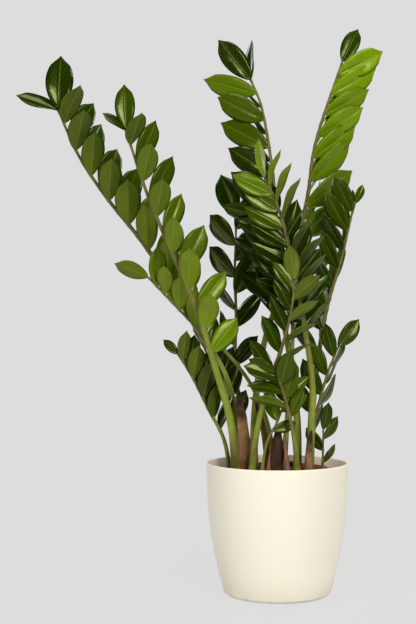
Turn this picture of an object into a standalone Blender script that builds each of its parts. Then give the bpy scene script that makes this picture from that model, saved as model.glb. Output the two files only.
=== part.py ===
"""Potted zz plant: sixteen fronds growing from rhizomes in a nursery pot, set inside a taller cover pot.

Metres, +Z up. The origin is the centre of the cover pot's underside and the front of the plant is at -Y.
Every frond is one grown piece (petiole, rachis and leaflets), so it is one closed body. A frond is a
six-sided tube along a smooth path, and each leaflet is drawn out of one face of that tube.
"""

import math
import random

import bmesh
import bpy
from mathutils import Vector

# ---------------------------------------------------------------- sizes
GAP = 0.0003            # clearance between pieces that touch

POT_H = 0.232           # cover pot
POT_R = 0.125
POT_FOOT_R = 0.093
POT_WALL = 0.0035
POT_FLOOR = 0.005
POT_BELLY = 2.4         # how late the side curves in towards the foot

INNER_DROP = 0.011      # nursery pot: how far its rim sits below the cover pot's
LIFT_GAP = 0.0245       # finger room between the two pots at the rim, and their distance at the foot
FOOT_GAP = 0.0135
INNER_WALL = 0.0018
INNER_LIP = 0.0035
DRAIN_R = 0.006
DRAIN_COUNT = 6

SOIL_DROP = 0.012       # potting mix below the nursery pot's rim
SOIL_CROWN = 0.008      # how much the surface rises at the centre

PLANT_H = 0.753         # tallest frond above the potting mix
DRAWN_H = 0.753         # the height and the nursery pot's radius that the tables below are drawn for
DRAWN_R = 0.097
BARE = 0.4              # height at which the stems have left the pot's scale for the plant's own
SEAT = 0.026            # how deep stems stand in the mix

POT_STEPS = 48
SOIL_STEPS = 30
STEM_SIDES = 6

# ---------------------------------------------------------------- fronds
# path: x, y and height above the mix, foot first; the foot itself is set SEAT deep.
# r: radius at foot and tip. n, span: leaflets, and where they sit along the path. crowd: under 0.92, the
# leaflets stand closer together towards the tip.
# left, right: the two ranks, each (direction, face, splay), in degrees around the stem from +X towards +Y;
# a pair is (lowest leaflet, highest leaflet). blade: leaflet length, low and high.
# tips: leaflets at the very end, each (direction, face, splay, scale).
FRONDS = {
    "frond_left_outer": {
        "r": (0.0095, 0.002), "n": 14, "span": (0.48, 0.965), "blade": (0.096, 0.09),
        "left": (18, (-66, -38), (64, 54)), "right": (-45, (62, 118), (44, 58)),
        "tips": ((0, -88, 26, 1.14), (190, -28, 44, 0.9)),
        "path": [(-0.06, 0.014, 0.), (-0.069, 0.016, 0.082), (-0.094, 0.022, 0.179), (-0.15, 0.028, 0.272),
                 (-0.231, 0.036, 0.402), (-0.307, 0.042, 0.498), (-0.358, 0.046, 0.575),
                 (-0.395, 0.05, 0.657)],
    },
    "frond_left_inner": {
        "r": (0.0095, 0.002), "n": 12, "span": (0.38, 0.96), "blade": (0.092, 0.08),
        "left": (8, (-80, -34), (58, 46)), "right": (-52, (72, 112), (40, 48)),
        "tips": ((20, -90, 16, 1.0), (196, -30, 34, 0.62)),
        "path": [(-0.072, -0.024, 0.), (-0.082, -0.036, 0.092), (-0.111, -0.052, 0.196),
                 (-0.143, -0.06, 0.297), (-0.185, -0.07, 0.393), (-0.222, -0.078, 0.479),
                 (-0.248, -0.085, 0.554), (-0.263, -0.09, 0.601)],
    },
    "frond_left_low": {
        "r": (0.006, 0.0018), "n": 7, "span": (0.68, 0.95), "blade": (0.076, 0.07),
        "left": (10, -50, (56, 46)), "right": (-30, (92, 70), (54, 44)),
        "tips": ((190, 88, 22, 0.95),),
        "path": [(-0., -0.004, 0.), (-0.016, 0., 0.087), (-0.048, 0.004, 0.164), (-0.098, 0.002, 0.226),
                 (-0.14, 0.002, 0.26), (-0.188, -0.004, 0.309), (-0.228, -0.018, 0.351)],
    },
    "frond_left_short": {
        "r": (0.0055, 0.0016), "n": 8, "span": (0.42, 0.94), "blade": (0.082, 0.062),
        "left": (10, (-140, -60), (42, 42)), "right": (-20, (142, 112), (38, 42)),
        "tips": ((180, -80, 12, 0.6),),
        "path": [(-0.08, -0.004, 0.), (-0.093, -0.006, 0.059), (-0.121, -0.006, 0.116),
                 (-0.151, -0.006, 0.175), (-0.176, -0.006, 0.215)],
    },
    "frond_left_back": {
        "r": (0.0055, 0.0016), "n": 9, "span": (0.42, 0.94), "blade": (0.085, 0.07),
        "left": (6, -66, (46, 40)), "right": (95, -5, (36, 32)),
        "tips": ((30, -90, 10, 0.8),),
        "path": [(-0.065, 0.036, 0.), (-0.075, 0.05, 0.061), (-0.095, 0.058, 0.13), (-0.117, 0.06, 0.191),
                 (-0.134, 0.06, 0.239)],
    },
    "frond_back_dark": {
        "r": (0.0065, 0.0017), "n": 9, "span": (0.44, 0.95), "blade": (0.088, 0.09),
        "left": (-30, -112, (40, 38)), "right": (158, (-176, -128), (34, 48)),
        "tips": ((165, -100, 20, 1.),),
        "path": [(-0.052, 0.059, 0.), (-0.060, 0.081, 0.091), (-0.073, 0.105, 0.182), (-0.07, 0.125, 0.275),
                 (-0.072, 0.14, 0.369), (-0.07, 0.145, 0.43), (-0.07, 0.15, 0.472)],
    },
    "frond_centre_top": {
        "r": (0.009, 0.002), "n": 15, "span": (0.46, 0.965), "blade": (0.106, 0.096),
        "left": (182, (-74, -124), (50, 52)), "right": (122, 170, (44, 44)),
        "tips": ((190, -92, 18, 0.98), (20, -150, 20, 0.8)),
        "path": [(0.036, 0.012, 0.), (0.037, 0.018, 0.096), (0.021, 0.03, 0.231), (0.004, 0.046, 0.321),
                 (-0.001, 0.05, 0.421), (-0.003, 0.046, 0.52), (-0.023, 0.042, 0.65),
                 (-0.045, 0.04, 0.71)],
    },
    "frond_right_top": {
        "r": (0.009, 0.002), "n": 17, "span": (0.5, 0.97), "crowd": 0.78, "blade": (0.118, 0.094),
        "left": (4, -58, (46, 43)), "right": (62, 0, (43, 40)),
        "tips": ((40, -95, 10, 0.74),),
        "path": [(-0.039, 0.05, 0.), (-0.037, 0.06, 0.111), (-0.018, 0.078, 0.239), (0.018, 0.092, 0.34),
                 (0.044, 0.098, 0.423), (0.062, 0.094, 0.507), (0.077, 0.086, 0.607), (0.123, 0.07, 0.748)],
    },
    "frond_centre_mid": {
        "r": (0.0095, 0.002), "n": 17, "span": (0.5, 0.97), "blade": (0.09, 0.074),
        "left": (-10, (162, 150), (42, 34)), "right": (-172, (-22, -84), (46, 40)),
        "tips": ((60, 150, 24, 0.95),),
        "path": [(0.055, -0.028, 0.), (0.058, -0.033, 0.083), (0.059, -0.042, 0.171),
                 (0.042, -0.055, 0.28), (0.02, -0.075, 0.386), (-0.001, -0.088, 0.464),
                 (-0.026, -0.098, 0.518)],
    },
    "frond_centre_left": {
        "r": (0.007, 0.0018), "n": 12, "span": (0.52, 0.96), "blade": (0.098, 0.074),
        "left": (10, (-140, -58), (42, 42)), "right": (186, (-26, -112), (44, 40)),
        "tips": ((60, -90, 16, 0.8),),
        "path": [(0.008, -0.022, 0.), (0.017, -0.018, 0.099), (0.026, -0.018, 0.223),
                 (0.023, -0.03, 0.329), (0.008, -0.045, 0.403), (-0.015, -0.055, 0.443),
                 (-0.04, -0.063, 0.472)],
    },
    "frond_right_mid": {
        "r": (0.008, 0.0018), "n": 15, "span": (0.46, 0.97), "blade": (0.092, 0.074),
        "left": (174, (-150, -124), (46, 44)), "right": (90, 14, (41, 40)),
        "tips": ((30, -60, 12, 0.5),),
        "path": [(0.053, 0.02, 0.), (0.065, 0.03, 0.104), (0.076, 0.035, 0.203), (0.092, 0.035, 0.297),
                 (0.117, 0.03, 0.384), (0.132, 0.022, 0.452), (0.141, 0.018, 0.485)],
    },
    "frond_centre_front": {
        "r": (0.0085, 0.0017), "n": 10, "span": (0.5, 0.96), "blade": (0.078, 0.06),
        "left": (0, (162, 116), (36, 40)), "right": (180, (-30, -60), (44, 36)),
        "tips": ((150, 84, 12, 1.0),),
        "path": [(-0.051, -0.05, 0.), (-0.036, -0.062, 0.096), (-0.015, -0.08, 0.173),
                 (0.008, -0.098, 0.246), (0.02, -0.108, 0.302), (0.023, -0.112, 0.344)],
    },
    "frond_front_small": {
        "r": (0.0075, 0.0017), "n": 6, "span": (0.62, 0.95), "blade": (0.072, 0.062),
        "left": (-20, (-140, -84), (34, 30)), "right": (182, (38, -34), (58, 50)),
        "tips": ((170, -100, 50, 0.85),),
        "path": [(0.036, -0.066, 0.), (0.025, -0.08, 0.074), (0.009, -0.094, 0.142), (-0.007, -0.112, 0.188)],
    },
    "frond_right_low": {
        "r": (0.0055, 0.0016), "n": 8, "span": (0.42, 0.93), "blade": (0.078, 0.064),
        "left": (60, -24, (41, 40)), "right": (165, -128, (43, 41)),
        "tips": ((15, -80, 18, 0.98),),
        "path": [(0.06, 0., 0.), (0.065, -0.005, 0.081), (0.075, -0.012, 0.134), (0.089, -0.02, 0.184),
                 (0.106, -0.025, 0.228)],
    },
    "frond_right_tiny": {
        "r": (0.0032, 0.0014), "n": 3, "span": (0.46, 0.84), "blade": (0.05, 0.05),
        "left": (20, -60, (40, 38)), "right": (170, -110, (42, 40)),
        "tips": ((10, -80, 12, 1.),),
        "path": [(0.079, -0.012, 0.), (0.08, -0.02, 0.047), (0.08, -0.026, 0.083)],
    },
    "frond_front_thin": {
        "r": (0.0038, 0.0014), "n": 5, "span": (0.58, 0.94), "blade": (0.056, 0.05),
        "left": (0, -65, (42, 40)), "right": (180, -112, (44, 40)),
        "tips": ((90, -90, 10, 0.9),),
        "path": [(-0.035, -0.07, 0.), (-0.023, -0.078, 0.06), (-0.005, -0.066, 0.096),
                 (0.009, -0.062, 0.131), (0.018, -0.06, 0.162)],
    },
}

# ---------------------------------------------------------------- small pieces
# foot x, y; lean x, y; height; half-width; half-depth; turn in degrees
SHEATHS = {
    "sheath_tall": (-0.056, -0.022, -0.014, -0.002, 0.156, 0.0130, 0.0017, 16),
    "sheath_inner": (-0.012, 0.017, -0.030, 0.006, 0.150, 0.0095, 0.0013, 20),
    "sheath_right": (0.052, -0.046, 0.006, -0.002, 0.085, 0.0065, 0.0013, -12),
}
SHOOTS = {
    "shoot_front": (0.015, -0.062, -0.006, 0.003, 0.068, 0.0060, 0.0054, 0),
    "shoot_small": (-0.0185, -0.062, 0.003, 0.000, 0.046, 0.0048, 0.0044, 0),
}
RHIZOMES = {
    "rhizome_centre": (-0.003, -0.044, 0.004, 0.002, 0.088, 0.0145, 0.0100, 10),
    "rhizome_right": (0.028, 0.050, 0.000, 0.000, 0.014, 0.0150, 0.0120, 40),
}
# x, y; length, width, thickness; turn in degrees
CHIPS = {
    "bark_chip_a": (-0.022, -0.014, 0.019, 0.011, 0.0090, 24),
    "bark_chip_b": (-0.030, -0.064, 0.015, 0.009, 0.0050, -38),
    "bark_chip_c": (0.075, -0.024, 0.017, 0.010, 0.0050, 62),
    "bark_chip_d": (-0.010, 0.070, 0.018, 0.010, 0.0050, 8),
}

# colour, roughness
MATERIALS = {
    "cream_plastic": ((0.86, 0.80, 0.64), 0.38),
    "terracotta_plastic": ((0.36, 0.10, 0.05), 0.55),
    "mix": ((0.055, 0.032, 0.020), 0.95),
    "leaf": ((0.075, 0.19, 0.018), 0.28),
    "papery_sheath": ((0.22, 0.12, 0.055), 0.80),
    "shoot_skin": ((0.30, 0.14, 0.08), 0.55),
    "rhizome_skin": ((0.10, 0.055, 0.03), 0.85),
    "bark": ((0.34, 0.14, 0.05), 0.85),
}

INNER_R = POT_R - POT_WALL - LIFT_GAP
INNER_FOOT_R = POT_FOOT_R - POT_WALL - FOOT_GAP
INNER_TOP = POT_H - INNER_DROP
SOIL_TOP = INNER_TOP - SOIL_DROP
DRAIN_RING = INNER_FOOT_R * 0.632
PLANT_SCALE = PLANT_H / DRAWN_H
ROOT_SCALE = INNER_R / DRAWN_R


# ---------------------------------------------------------------- scene helpers
def clear_scene():
    for obj in list(bpy.data.objects):
        bpy.data.objects.remove(obj, do_unlink=True)


def make_collection(name):
    collection = bpy.data.collections.new(name)
    bpy.context.scene.collection.children.link(collection)
    return collection


def make_material(name):
    colour, roughness = MATERIALS[name]
    material = bpy.data.materials.new(name)
    material.use_nodes = True
    shader = material.node_tree.nodes["Principled BSDF"]
    shader.inputs["Base Color"].default_value = (*colour, 1.0)
    shader.inputs["Roughness"].default_value = roughness
    material.diffuse_color = (*colour, 1.0)
    return material


def add_object(name, mesh, collection, material=None):
    obj = bpy.data.objects.new(name, mesh)
    collection.objects.link(obj)
    if material:
        obj.data.materials.append(material)
    return obj


def finish_mesh(bm, name):
    bmesh.ops.recalc_face_normals(bm, faces=bm.faces)
    mesh = bpy.data.meshes.new(name)
    bm.to_mesh(mesh)
    bm.free()
    mesh.shade_smooth()
    mesh.set_sharp_from_angle(angle=math.radians(40))
    return mesh


# ---------------------------------------------------------------- pots
def turned(name, profile, steps, collection, material):
    """A solid of revolution. The profile runs down the outside, and both its ends lie on the axis."""
    mesh = bpy.data.meshes.new(name)
    points = [(radius, 0.0, height) for radius, height in profile]
    mesh.from_pydata(points, [(i, i + 1) for i in range(len(points) - 1)], [])
    obj = add_object(name, mesh, collection, material)
    screw = obj.modifiers.new("turn", "SCREW")
    screw.axis = "Z"
    screw.steps = steps
    screw.render_steps = steps
    screw.use_merge_vertices = True
    screw.merge_threshold = 0.0001
    return obj


def pot_side(height):
    """Outer radius of the cover pot at a height above its underside."""
    fall = max(0.0, 1.0 - height / POT_H)
    return POT_R - (POT_R - POT_FOOT_R) * fall ** POT_BELLY


def cachepot_profile():
    lip = POT_WALL * 0.5
    outer = [(pot_side(POT_H * k), POT_H * k) for k in (0.96, 0.86, 0.74, 0.60, 0.46, 0.32, 0.20, 0.10)]
    corner = 0.009
    foot = [(pot_side(corner), corner), (pot_side(corner) - 0.0022, 0.0035), (POT_FOOT_R - 0.009, 0.0)]
    inner_levels = (0.10, 0.22, 0.36, 0.50, 0.66, 0.82, 0.95)
    inner = [(pot_side(POT_H * k) - POT_WALL, POT_H * k) for k in inner_levels]
    floor_r = pot_side(POT_FLOOR) - POT_WALL - 0.004
    rim = [(POT_R - POT_WALL, POT_H - lip), (POT_R - lip, POT_H), (POT_R, POT_H - lip)]
    inside = [(0.0, POT_FLOOR), (floor_r, POT_FLOOR)] + inner
    return inside + rim + outer + foot + [(0.0, 0.0)]


def nursery_side(height):
    """Outer radius of the nursery pot at a height above its own underside."""
    return INNER_FOOT_R + (INNER_R - INNER_LIP - INNER_FOOT_R) * height / (INNER_TOP - POT_FLOOR - GAP)


def nursery_profile():
    base = POT_FLOOR + GAP
    tall = INNER_TOP - base
    collar = tall - 0.016
    inner_floor = 0.0025
    inside = [(0.0, base + inner_floor), (nursery_side(0.0) - INNER_WALL - 0.002, base + inner_floor)]
    inside += [(nursery_side(h) - INNER_WALL, base + h) for h in (0.006, tall * 0.5, tall - 0.001)]
    rim = [(nursery_side(tall) - INNER_WALL + 0.001, INNER_TOP), (INNER_R - 0.001, INNER_TOP)]
    rim += [(INNER_R, INNER_TOP - 0.001), (INNER_R, base + collar)]
    outside = [(nursery_side(h), base + h) for h in (collar, tall * 0.5, 0.004)]
    return inside + rim + outside + [(nursery_side(0.0) - 0.002, base), (0.0, base)]


def drill_drains(pot, cutters):
    """Round drain holes through the nursery pot's floor."""
    for index in range(DRAIN_COUNT):
        turn = math.tau * (index + 0.5) / DRAIN_COUNT
        bm = bmesh.new()
        bmesh.ops.create_cone(bm, cap_ends=True, segments=10, radius1=DRAIN_R, radius2=DRAIN_R, depth=0.02)
        place = Vector((math.cos(turn) * DRAIN_RING, math.sin(turn) * DRAIN_RING, POT_FLOOR + 0.003))
        bmesh.ops.translate(bm, verts=bm.verts, vec=place)
        cutter = add_object(f"drain_cutter_{index}", finish_mesh(bm, "drain"), cutters)
        cut(pot, cutter)


def cut(target, cutter):
    boolean = target.modifiers.new(cutter.name, "BOOLEAN")
    boolean.operation = "DIFFERENCE"
    boolean.solver = "EXACT"
    boolean.object = cutter


# ---------------------------------------------------------------- potting mix
def soil_height(x, y):
    """Surface of the mix: a low crown with soft lumps."""
    wall = nursery_side(SOIL_TOP - POT_FLOOR - GAP) - INNER_WALL
    edge = min(1.0, math.hypot(x, y) / wall)
    lumps = 0.0012 * math.sin(x * 95 + 1.3) * math.cos(y * 83 - 0.4) * (1 - edge ** 4)
    return SOIL_TOP + SOIL_CROWN * (1 - edge * edge) + lumps


def make_mix(collection, material):
    base = POT_FLOOR + GAP
    low = base + 0.0025 + GAP
    levels = [(low, nursery_side(0.0) - INNER_WALL - 0.0026), (base + 0.007, nursery_side(0.007)),
              ((low + SOIL_TOP) / 2, nursery_side((low + SOIL_TOP) / 2 - base)),
              (SOIL_TOP, nursery_side(SOIL_TOP - base))]
    rings = [(levels[0][1], levels[0][0])]
    rings += [(radius - INNER_WALL - GAP * 1.5, height) for height, radius in levels[1:]]
    bm = bmesh.new()
    loops = []
    for radius, height in rings:
        loops.append([bm.verts.new(spoke(radius, k, height)) for k in range(SOIL_STEPS)])
    top_r = rings[-1][0]
    for part in (0.80, 0.55, 0.30):
        loop = []
        for k in range(SOIL_STEPS):
            at = spoke(top_r * part, k, 0.0)
            loop.append(bm.verts.new((at.x, at.y, soil_height(at.x, at.y))))
        loops.append(loop)
    for low_loop, high_loop in zip(loops, loops[1:]):
        for k in range(SOIL_STEPS):
            j = (k + 1) % SOIL_STEPS
            bm.faces.new((low_loop[k], low_loop[j], high_loop[j], high_loop[k]))
    for loop, height in ((loops[0], low), (loops[-1], soil_height(0.0, 0.0))):
        centre = bm.verts.new((0.0, 0.0, height))
        for k in range(SOIL_STEPS):
            bm.faces.new((loop[k], loop[(k + 1) % SOIL_STEPS], centre))
    return add_object("potting_mix", finish_mesh(bm, "potting_mix"), collection, material)


def spoke(radius, k, height):
    turn = math.tau * k / SOIL_STEPS
    return Vector((radius * math.cos(turn), radius * math.sin(turn), height))


# ---------------------------------------------------------------- fronds
def smooth_path(points, count=120):
    """Evenly spaced points on a Catmull-Rom curve through the given ones."""
    ends = [points[0] * 2 - points[1], *points, points[-1] * 2 - points[-2]]
    dense = []
    for a, b, c, d in zip(ends, ends[1:], ends[2:], ends[3:]):
        for step in range(30):
            t = step / 30
            bend = (a * 2 - b * 5 + c * 4 - d) * t * t + (b * 3 - a - c * 3 + d) * t ** 3
            dense.append((b * 2 + (c - a) * t + bend) * 0.5)
    dense.append(points[-1])
    reach = [0.0]
    for a, b in zip(dense, dense[1:]):
        reach.append(reach[-1] + (b - a).length)
    even, k = [], 0
    for step in range(count + 1):
        want = reach[-1] * step / count
        while k < len(dense) - 2 and reach[k + 1] < want:
            k += 1
        even.append(dense[k].lerp(dense[k + 1], (want - reach[k]) / (reach[k + 1] - reach[k])))
    return even


class Stem:
    """The centre line of a frond, with a point and a direction at any t from 0 to 1."""

    def __init__(self, frond):
        points = []
        for x, y, height in frond["path"]:
            spread = ROOT_SCALE + (PLANT_SCALE - ROOT_SCALE) * min(1.0, height / BARE)
            points.append(Vector((x * spread, y * spread, SOIL_TOP + height * PLANT_SCALE)))
        points[0].z = SOIL_TOP - SEAT
        self.line = smooth_path(points)
        self.length = sum((b - a).length for a, b in zip(self.line, self.line[1:]))
        foot, tip = frond["r"]
        self.radii = [foot * min(ROOT_SCALE, PLANT_SCALE), tip * PLANT_SCALE]

    def at(self, t):
        place = min(max(t, 0.0), 1.0) * (len(self.line) - 1)
        k = min(int(place), len(self.line) - 2)
        return self.line[k].lerp(self.line[k + 1], place - k)

    def along(self, t):
        return (self.at(t + 0.01) - self.at(t - 0.01)).normalized()

    def radius(self, t):
        foot, tip = self.radii
        return foot + (tip - foot) * min(max(t, 0.0), 1.0) ** 0.6


def around(axis, degrees):
    """The direction this many degrees around the axis, counted from +X towards +Y."""
    right = (Vector((1, 0, 0)) - axis * axis.x).normalized()
    away = axis.cross(right)
    turn = math.radians(degrees)
    return right * math.cos(turn) + away * math.sin(turn)


def between(pair, k):
    low, high = pair if isinstance(pair, tuple) else (pair, pair)
    return low + (high - low) * k


def leaflets(name, frond, stem):
    """Every leaflet of a frond, from the lowest up, as a dictionary of its place and pose."""
    chance = random.Random(name)
    start, end = frond["span"]
    count = frond["n"]
    found = []
    for index in range(count):
        k = index / (count - 1)
        rank = "right" if index % 2 else "left"
        direction, face, splay = (between(value, k) for value in frond[rank])
        t = start + (end - start) * k ** frond.get("crowd", 0.92)
        size = between(frond["blade"], k) * (0.84 + 0.16 * min(1.0, k * 5)) * chance.uniform(0.93, 1.05)
        direction += chance.uniform(-4, 4)
        splay += chance.uniform(-4, 4)
        face += chance.uniform(-13, 13)
        found.append(pose(stem, t, direction, face, splay, size, chance.uniform(-15, -9)))
    for direction, face, splay, scale in frond.get("tips", ()):
        found.append(pose(stem, 1.0, direction, face, splay, frond["blade"][1] * scale, -10))
    return found


def pose(stem, t, direction, face, splay, size, bend):
    along = stem.along(t)
    out = around(along, direction)
    tilt = math.radians(splay)
    way = along * math.cos(tilt) + out * math.sin(tilt)
    normal = around(along, face)
    normal = (normal - way * normal.dot(way)).normalized()
    return {"t": t, "root": stem.at(t), "out": out, "way": way, "normal": normal,
            "length": size * PLANT_SCALE, "bend": math.radians(bend)}


# where along a leaflet its sections are, its half-width there and its half-thickness
BLADE = ((0.10, 0.030, 0.0010), (0.32, 0.185, 0.0008), (0.60, 0.235, 0.0007), (0.86, 0.135, 0.0005))
LEAF_FOLD = math.radians(6)


def blade_section(leaf, share, half_width, half_thick):
    """Four points around a leaflet: one edge, the upper side, the other edge, the under side."""
    bend = leaf["bend"]
    length = leaf["length"]
    way, normal = leaf["way"], leaf["normal"]
    swing = bend * share
    centre = leaf["root"] + way * (length * math.sin(swing) / bend)
    centre += normal * (length * (1 - math.cos(swing)) / bend)
    up = normal * math.cos(swing) - way * math.sin(swing)
    side = way.cross(normal)
    reach = half_width * length
    lift = up * (reach * math.sin(LEAF_FOLD))
    edge = side * (reach * math.cos(LEAF_FOLD))
    return [centre - edge + lift, centre + up * half_thick, centre + edge + lift, centre - up * half_thick]


def ring(bm, stem, t, phase):
    along = stem.along(t)
    radius = stem.radius(t)
    step = 360 / STEM_SIDES
    return [bm.verts.new(stem.at(t) + around(along, phase + step * k) * radius) for k in range(STEM_SIDES)]


def frond_rings(stem, leaves, frond):
    """Heights of the tube's rings: a few on the petiole, then one below and one above every leaflet."""
    half = 0.0024 / stem.length * PLANT_SCALE
    marks = []
    for leaf in leaves:
        if leaf["t"] < 1.0:
            marks += [leaf["t"] - half, leaf["t"] + half]
    first = frond["span"][0]
    petiole = [0.0, *(first * share for share in (0.16, 0.36, 0.58, 0.80))]
    return petiole + marks + [1.0]


def match_corners(corners, section, leaf):
    """Turns the section's order so that its points lie nearest the corners of the face they continue."""
    centre = sum(section, Vector()) / 4
    middle = sum(corners, Vector()) / 4
    orders = [[(k + shift) % 4 for k in range(4)] for shift in range(4)]
    orders += [[(shift - k) % 4 for k in range(4)] for shift in range(4)]

    def misfit(order):
        spread = 0.0
        for corner, index in zip(corners, order):
            spread -= (corner - middle).normalized().dot((section[index] - centre).normalized())
        return spread

    handed = (corners[1] - corners[0]).cross(corners[2] - corners[1]).dot(leaf["way"]) > 0
    turned_way = (section[1] - section[0]).cross(section[2] - section[1]).dot(leaf["way"]) > 0
    allowed = orders[:4] if handed == turned_way else orders[4:]
    return min(allowed, key=misfit)


def grow_leaflet(bm, face, leaf):
    """Draws a leaflet out of one face of the stem and removes that face."""
    loop = list(face.verts)
    order = match_corners([vert.co for vert in loop], blade_section(leaf, *BLADE[0]), leaf)
    bm.faces.remove(face)
    for share, half_width, half_thick in BLADE:
        points = blade_section(leaf, share, half_width, half_thick)
        new_loop = [bm.verts.new(points[index]) for index in order]
        for k in range(4):
            j = (k + 1) % 4
            bm.faces.new((loop[k], loop[j], new_loop[j], new_loop[k]))
        loop = new_loop
    tip_points = blade_section(leaf, 1.0, 0.0, 0.0)
    tip = bm.verts.new(tip_points[1])
    for k in range(4):
        bm.faces.new((loop[k], loop[(k + 1) % 4], tip))


def make_frond(name, frond, collection, material):
    stem = Stem(frond)
    leaves = leaflets(name, frond, stem)
    heights = frond_rings(stem, leaves, frond)
    bm = bmesh.new()
    loops = [ring(bm, stem, t, 0) for t in heights]
    walls = {}
    for index, (low, high) in enumerate(zip(loops, loops[1:])):
        for k in range(STEM_SIDES):
            j = (k + 1) % STEM_SIDES
            walls[index, k] = bm.faces.new((low[k], low[j], high[j], high[k]))
    bm.faces.new(loops[0][::-1])
    end = loops[-1]
    caps = [bm.faces.new((end[0], end[1], end[2], end[3])), bm.faces.new((end[3], end[4], end[5], end[0]))]
    step = 360 / STEM_SIDES
    for leaf in leaves:
        if leaf["t"] < 1.0:
            index = heights.index(leaf["t"] + 0.0024 / stem.length * PLANT_SCALE) - 1
            along = stem.along(leaf["t"])
            sides = range(STEM_SIDES)
            best = max(sides, key=lambda k: around(along, step * (k + 0.5)).dot(leaf["out"]))
            grow_leaflet(bm, walls[index, best], leaf)
    ends = [leaf for leaf in leaves if leaf["t"] >= 1.0]
    for leaf, cap in zip(ends, caps):
        grow_leaflet(bm, cap, leaf)
    return add_object(name, finish_mesh(bm, name), collection, material)


def pocket_for_stem(mix, name, frond, cutters):
    """Cuts room in the mix for the buried foot of a stem, as the stem's own lowest rings a little wider."""
    stem = Stem(frond)
    bm = bmesh.new()
    step = 360 / STEM_SIDES
    loops = []
    for t in frond_rings(stem, [], frond)[:5]:
        along = stem.along(t)
        centre = stem.at(t) - along * (GAP if t == 0.0 else 0.0)
        radius = stem.radius(t) + GAP * 1.4
        loops.append([bm.verts.new(centre + around(along, step * k) * radius) for k in range(STEM_SIDES)])
    for low, high in zip(loops, loops[1:]):
        for k in range(STEM_SIDES):
            j = (k + 1) % STEM_SIDES
            bm.faces.new((low[k], low[j], high[j], high[k]))
    bm.faces.new(loops[0][::-1])
    bm.faces.new(loops[-1])
    cut(mix, add_object(f"{name}_pocket", finish_mesh(bm, name), cutters))


# ---------------------------------------------------------------- sheaths, shoots, rhizomes, bark
SPIKE_LEVELS = ((-0.020, 0.70), (-0.002, 0.92), (0.30, 1.0), (0.62, 0.74), (0.86, 0.36))


def spike(name, sizes, sides, grow):
    """A leaning, tapering closed form that stands in the mix: a sheath, a shoot or the top of a rhizome."""
    x, y, lean_x, lean_y, height, half_width, half_depth = (size * ROOT_SCALE for size in sizes[:-1])
    turn = sizes[-1]
    bm = bmesh.new()
    ground = soil_height(x, y)
    cosine, sine = math.cos(math.radians(turn)), math.sin(math.radians(turn))
    loops = []
    for level, share in SPIKE_LEVELS:
        rise = level if level < 0 else level * height
        drift = max(0.0, level) ** 1.5
        loop = []
        for k in range(sides):
            angle = math.tau * (k + 0.5) / sides
            across = (half_width * share + grow) * math.cos(angle)
            deep = (half_depth * (0.4 + 0.6 * share) + grow) * math.sin(angle)
            px = x + lean_x * drift + across * cosine - deep * sine
            py = y + lean_y * drift + across * sine + deep * cosine
            loop.append(bm.verts.new((px, py, ground + rise - (grow if level == SPIKE_LEVELS[0][0] else 0))))
        loops.append(loop)
    for low, high in zip(loops, loops[1:]):
        for k in range(sides):
            j = (k + 1) % sides
            bm.faces.new((low[k], low[j], high[j], high[k]))
    bm.faces.new(loops[0][::-1])
    tip = bm.verts.new((x + lean_x, y + lean_y, ground + height))
    for k in range(sides):
        bm.faces.new((loops[-1][k], loops[-1][(k + 1) % sides], tip))
    return finish_mesh(bm, name)


def chip(name, sizes, grow):
    """A flake of bark, half sunk in the mix."""
    x, y, length, width, thick = (size * ROOT_SCALE for size in sizes[:-1])
    turn = sizes[-1]
    chance = random.Random(name)
    cosine, sine = math.cos(math.radians(turn)), math.sin(math.radians(turn))
    ground = soil_height(x, y) + thick * 0.15
    bm = bmesh.new()
    corners = ((-1, -0.7), (-0.2, -1), (1, -0.6), (0.8, 0.8), (-0.3, 1), (-0.9, 0.5))
    loops = []
    for height, share in ((-0.5, 0.86), (0.1, 1.0), (0.5, 0.80)):
        loop = []
        for a, b in corners:
            across = (length / 2 * share * chance.uniform(0.94, 1.0) + grow) * a
            deep = (width / 2 * share * chance.uniform(0.94, 1.0) + grow) * b
            rise = height * (thick + grow * 2)
            loop.append(bm.verts.new((x + across * cosine - deep * sine, y + across * sine + deep * cosine,
                                      ground + rise)))
        loops.append(loop)
    count = len(corners)
    for low, high in zip(loops, loops[1:]):
        for k in range(count):
            j = (k + 1) % count
            bm.faces.new((low[k], low[j], high[j], high[k]))
    bm.faces.new(loops[0][::-1])
    bm.faces.new(loops[-1])
    return finish_mesh(bm, name)


def add_small_pieces(plant, cutters, mix, materials):
    groups = ((SHEATHS, 6, "papery_sheath"), (SHOOTS, 6, "shoot_skin"), (RHIZOMES, 8, "rhizome_skin"))
    for table, sides, material in groups:
        for name, sizes in table.items():
            add_object(name, spike(name, sizes, sides, 0.0), plant, materials[material])
            cut(mix, add_object(f"{name}_pocket", spike(name, sizes, sides, GAP), cutters))
    for name, sizes in CHIPS.items():
        add_object(name, chip(name, sizes, 0.0), plant, materials["bark"])
        cut(mix, add_object(f"{name}_pocket", chip(name, sizes, GAP * 1.4), cutters))


# ---------------------------------------------------------------- the whole plant
def main():
    clear_scene()
    plant = make_collection("potted_zz_plant")
    cutters = make_collection("cutters")
    cutters.hide_render = True
    materials = {name: make_material(name) for name in MATERIALS}

    turned("cachepot", cachepot_profile(), POT_STEPS, plant, materials["cream_plastic"])
    inner = turned("nursery_pot", nursery_profile(), POT_STEPS, plant, materials["terracotta_plastic"])
    drill_drains(inner, cutters)
    mix = make_mix(plant, materials["mix"])
    for name, frond in FRONDS.items():
        make_frond(name, frond, plant, materials["leaf"])
        pocket_for_stem(mix, name, frond, cutters)
    add_small_pieces(plant, cutters, mix, materials)
    for cutter in cutters.objects:
        cutter.display_type = "WIRE"


main()
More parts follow.
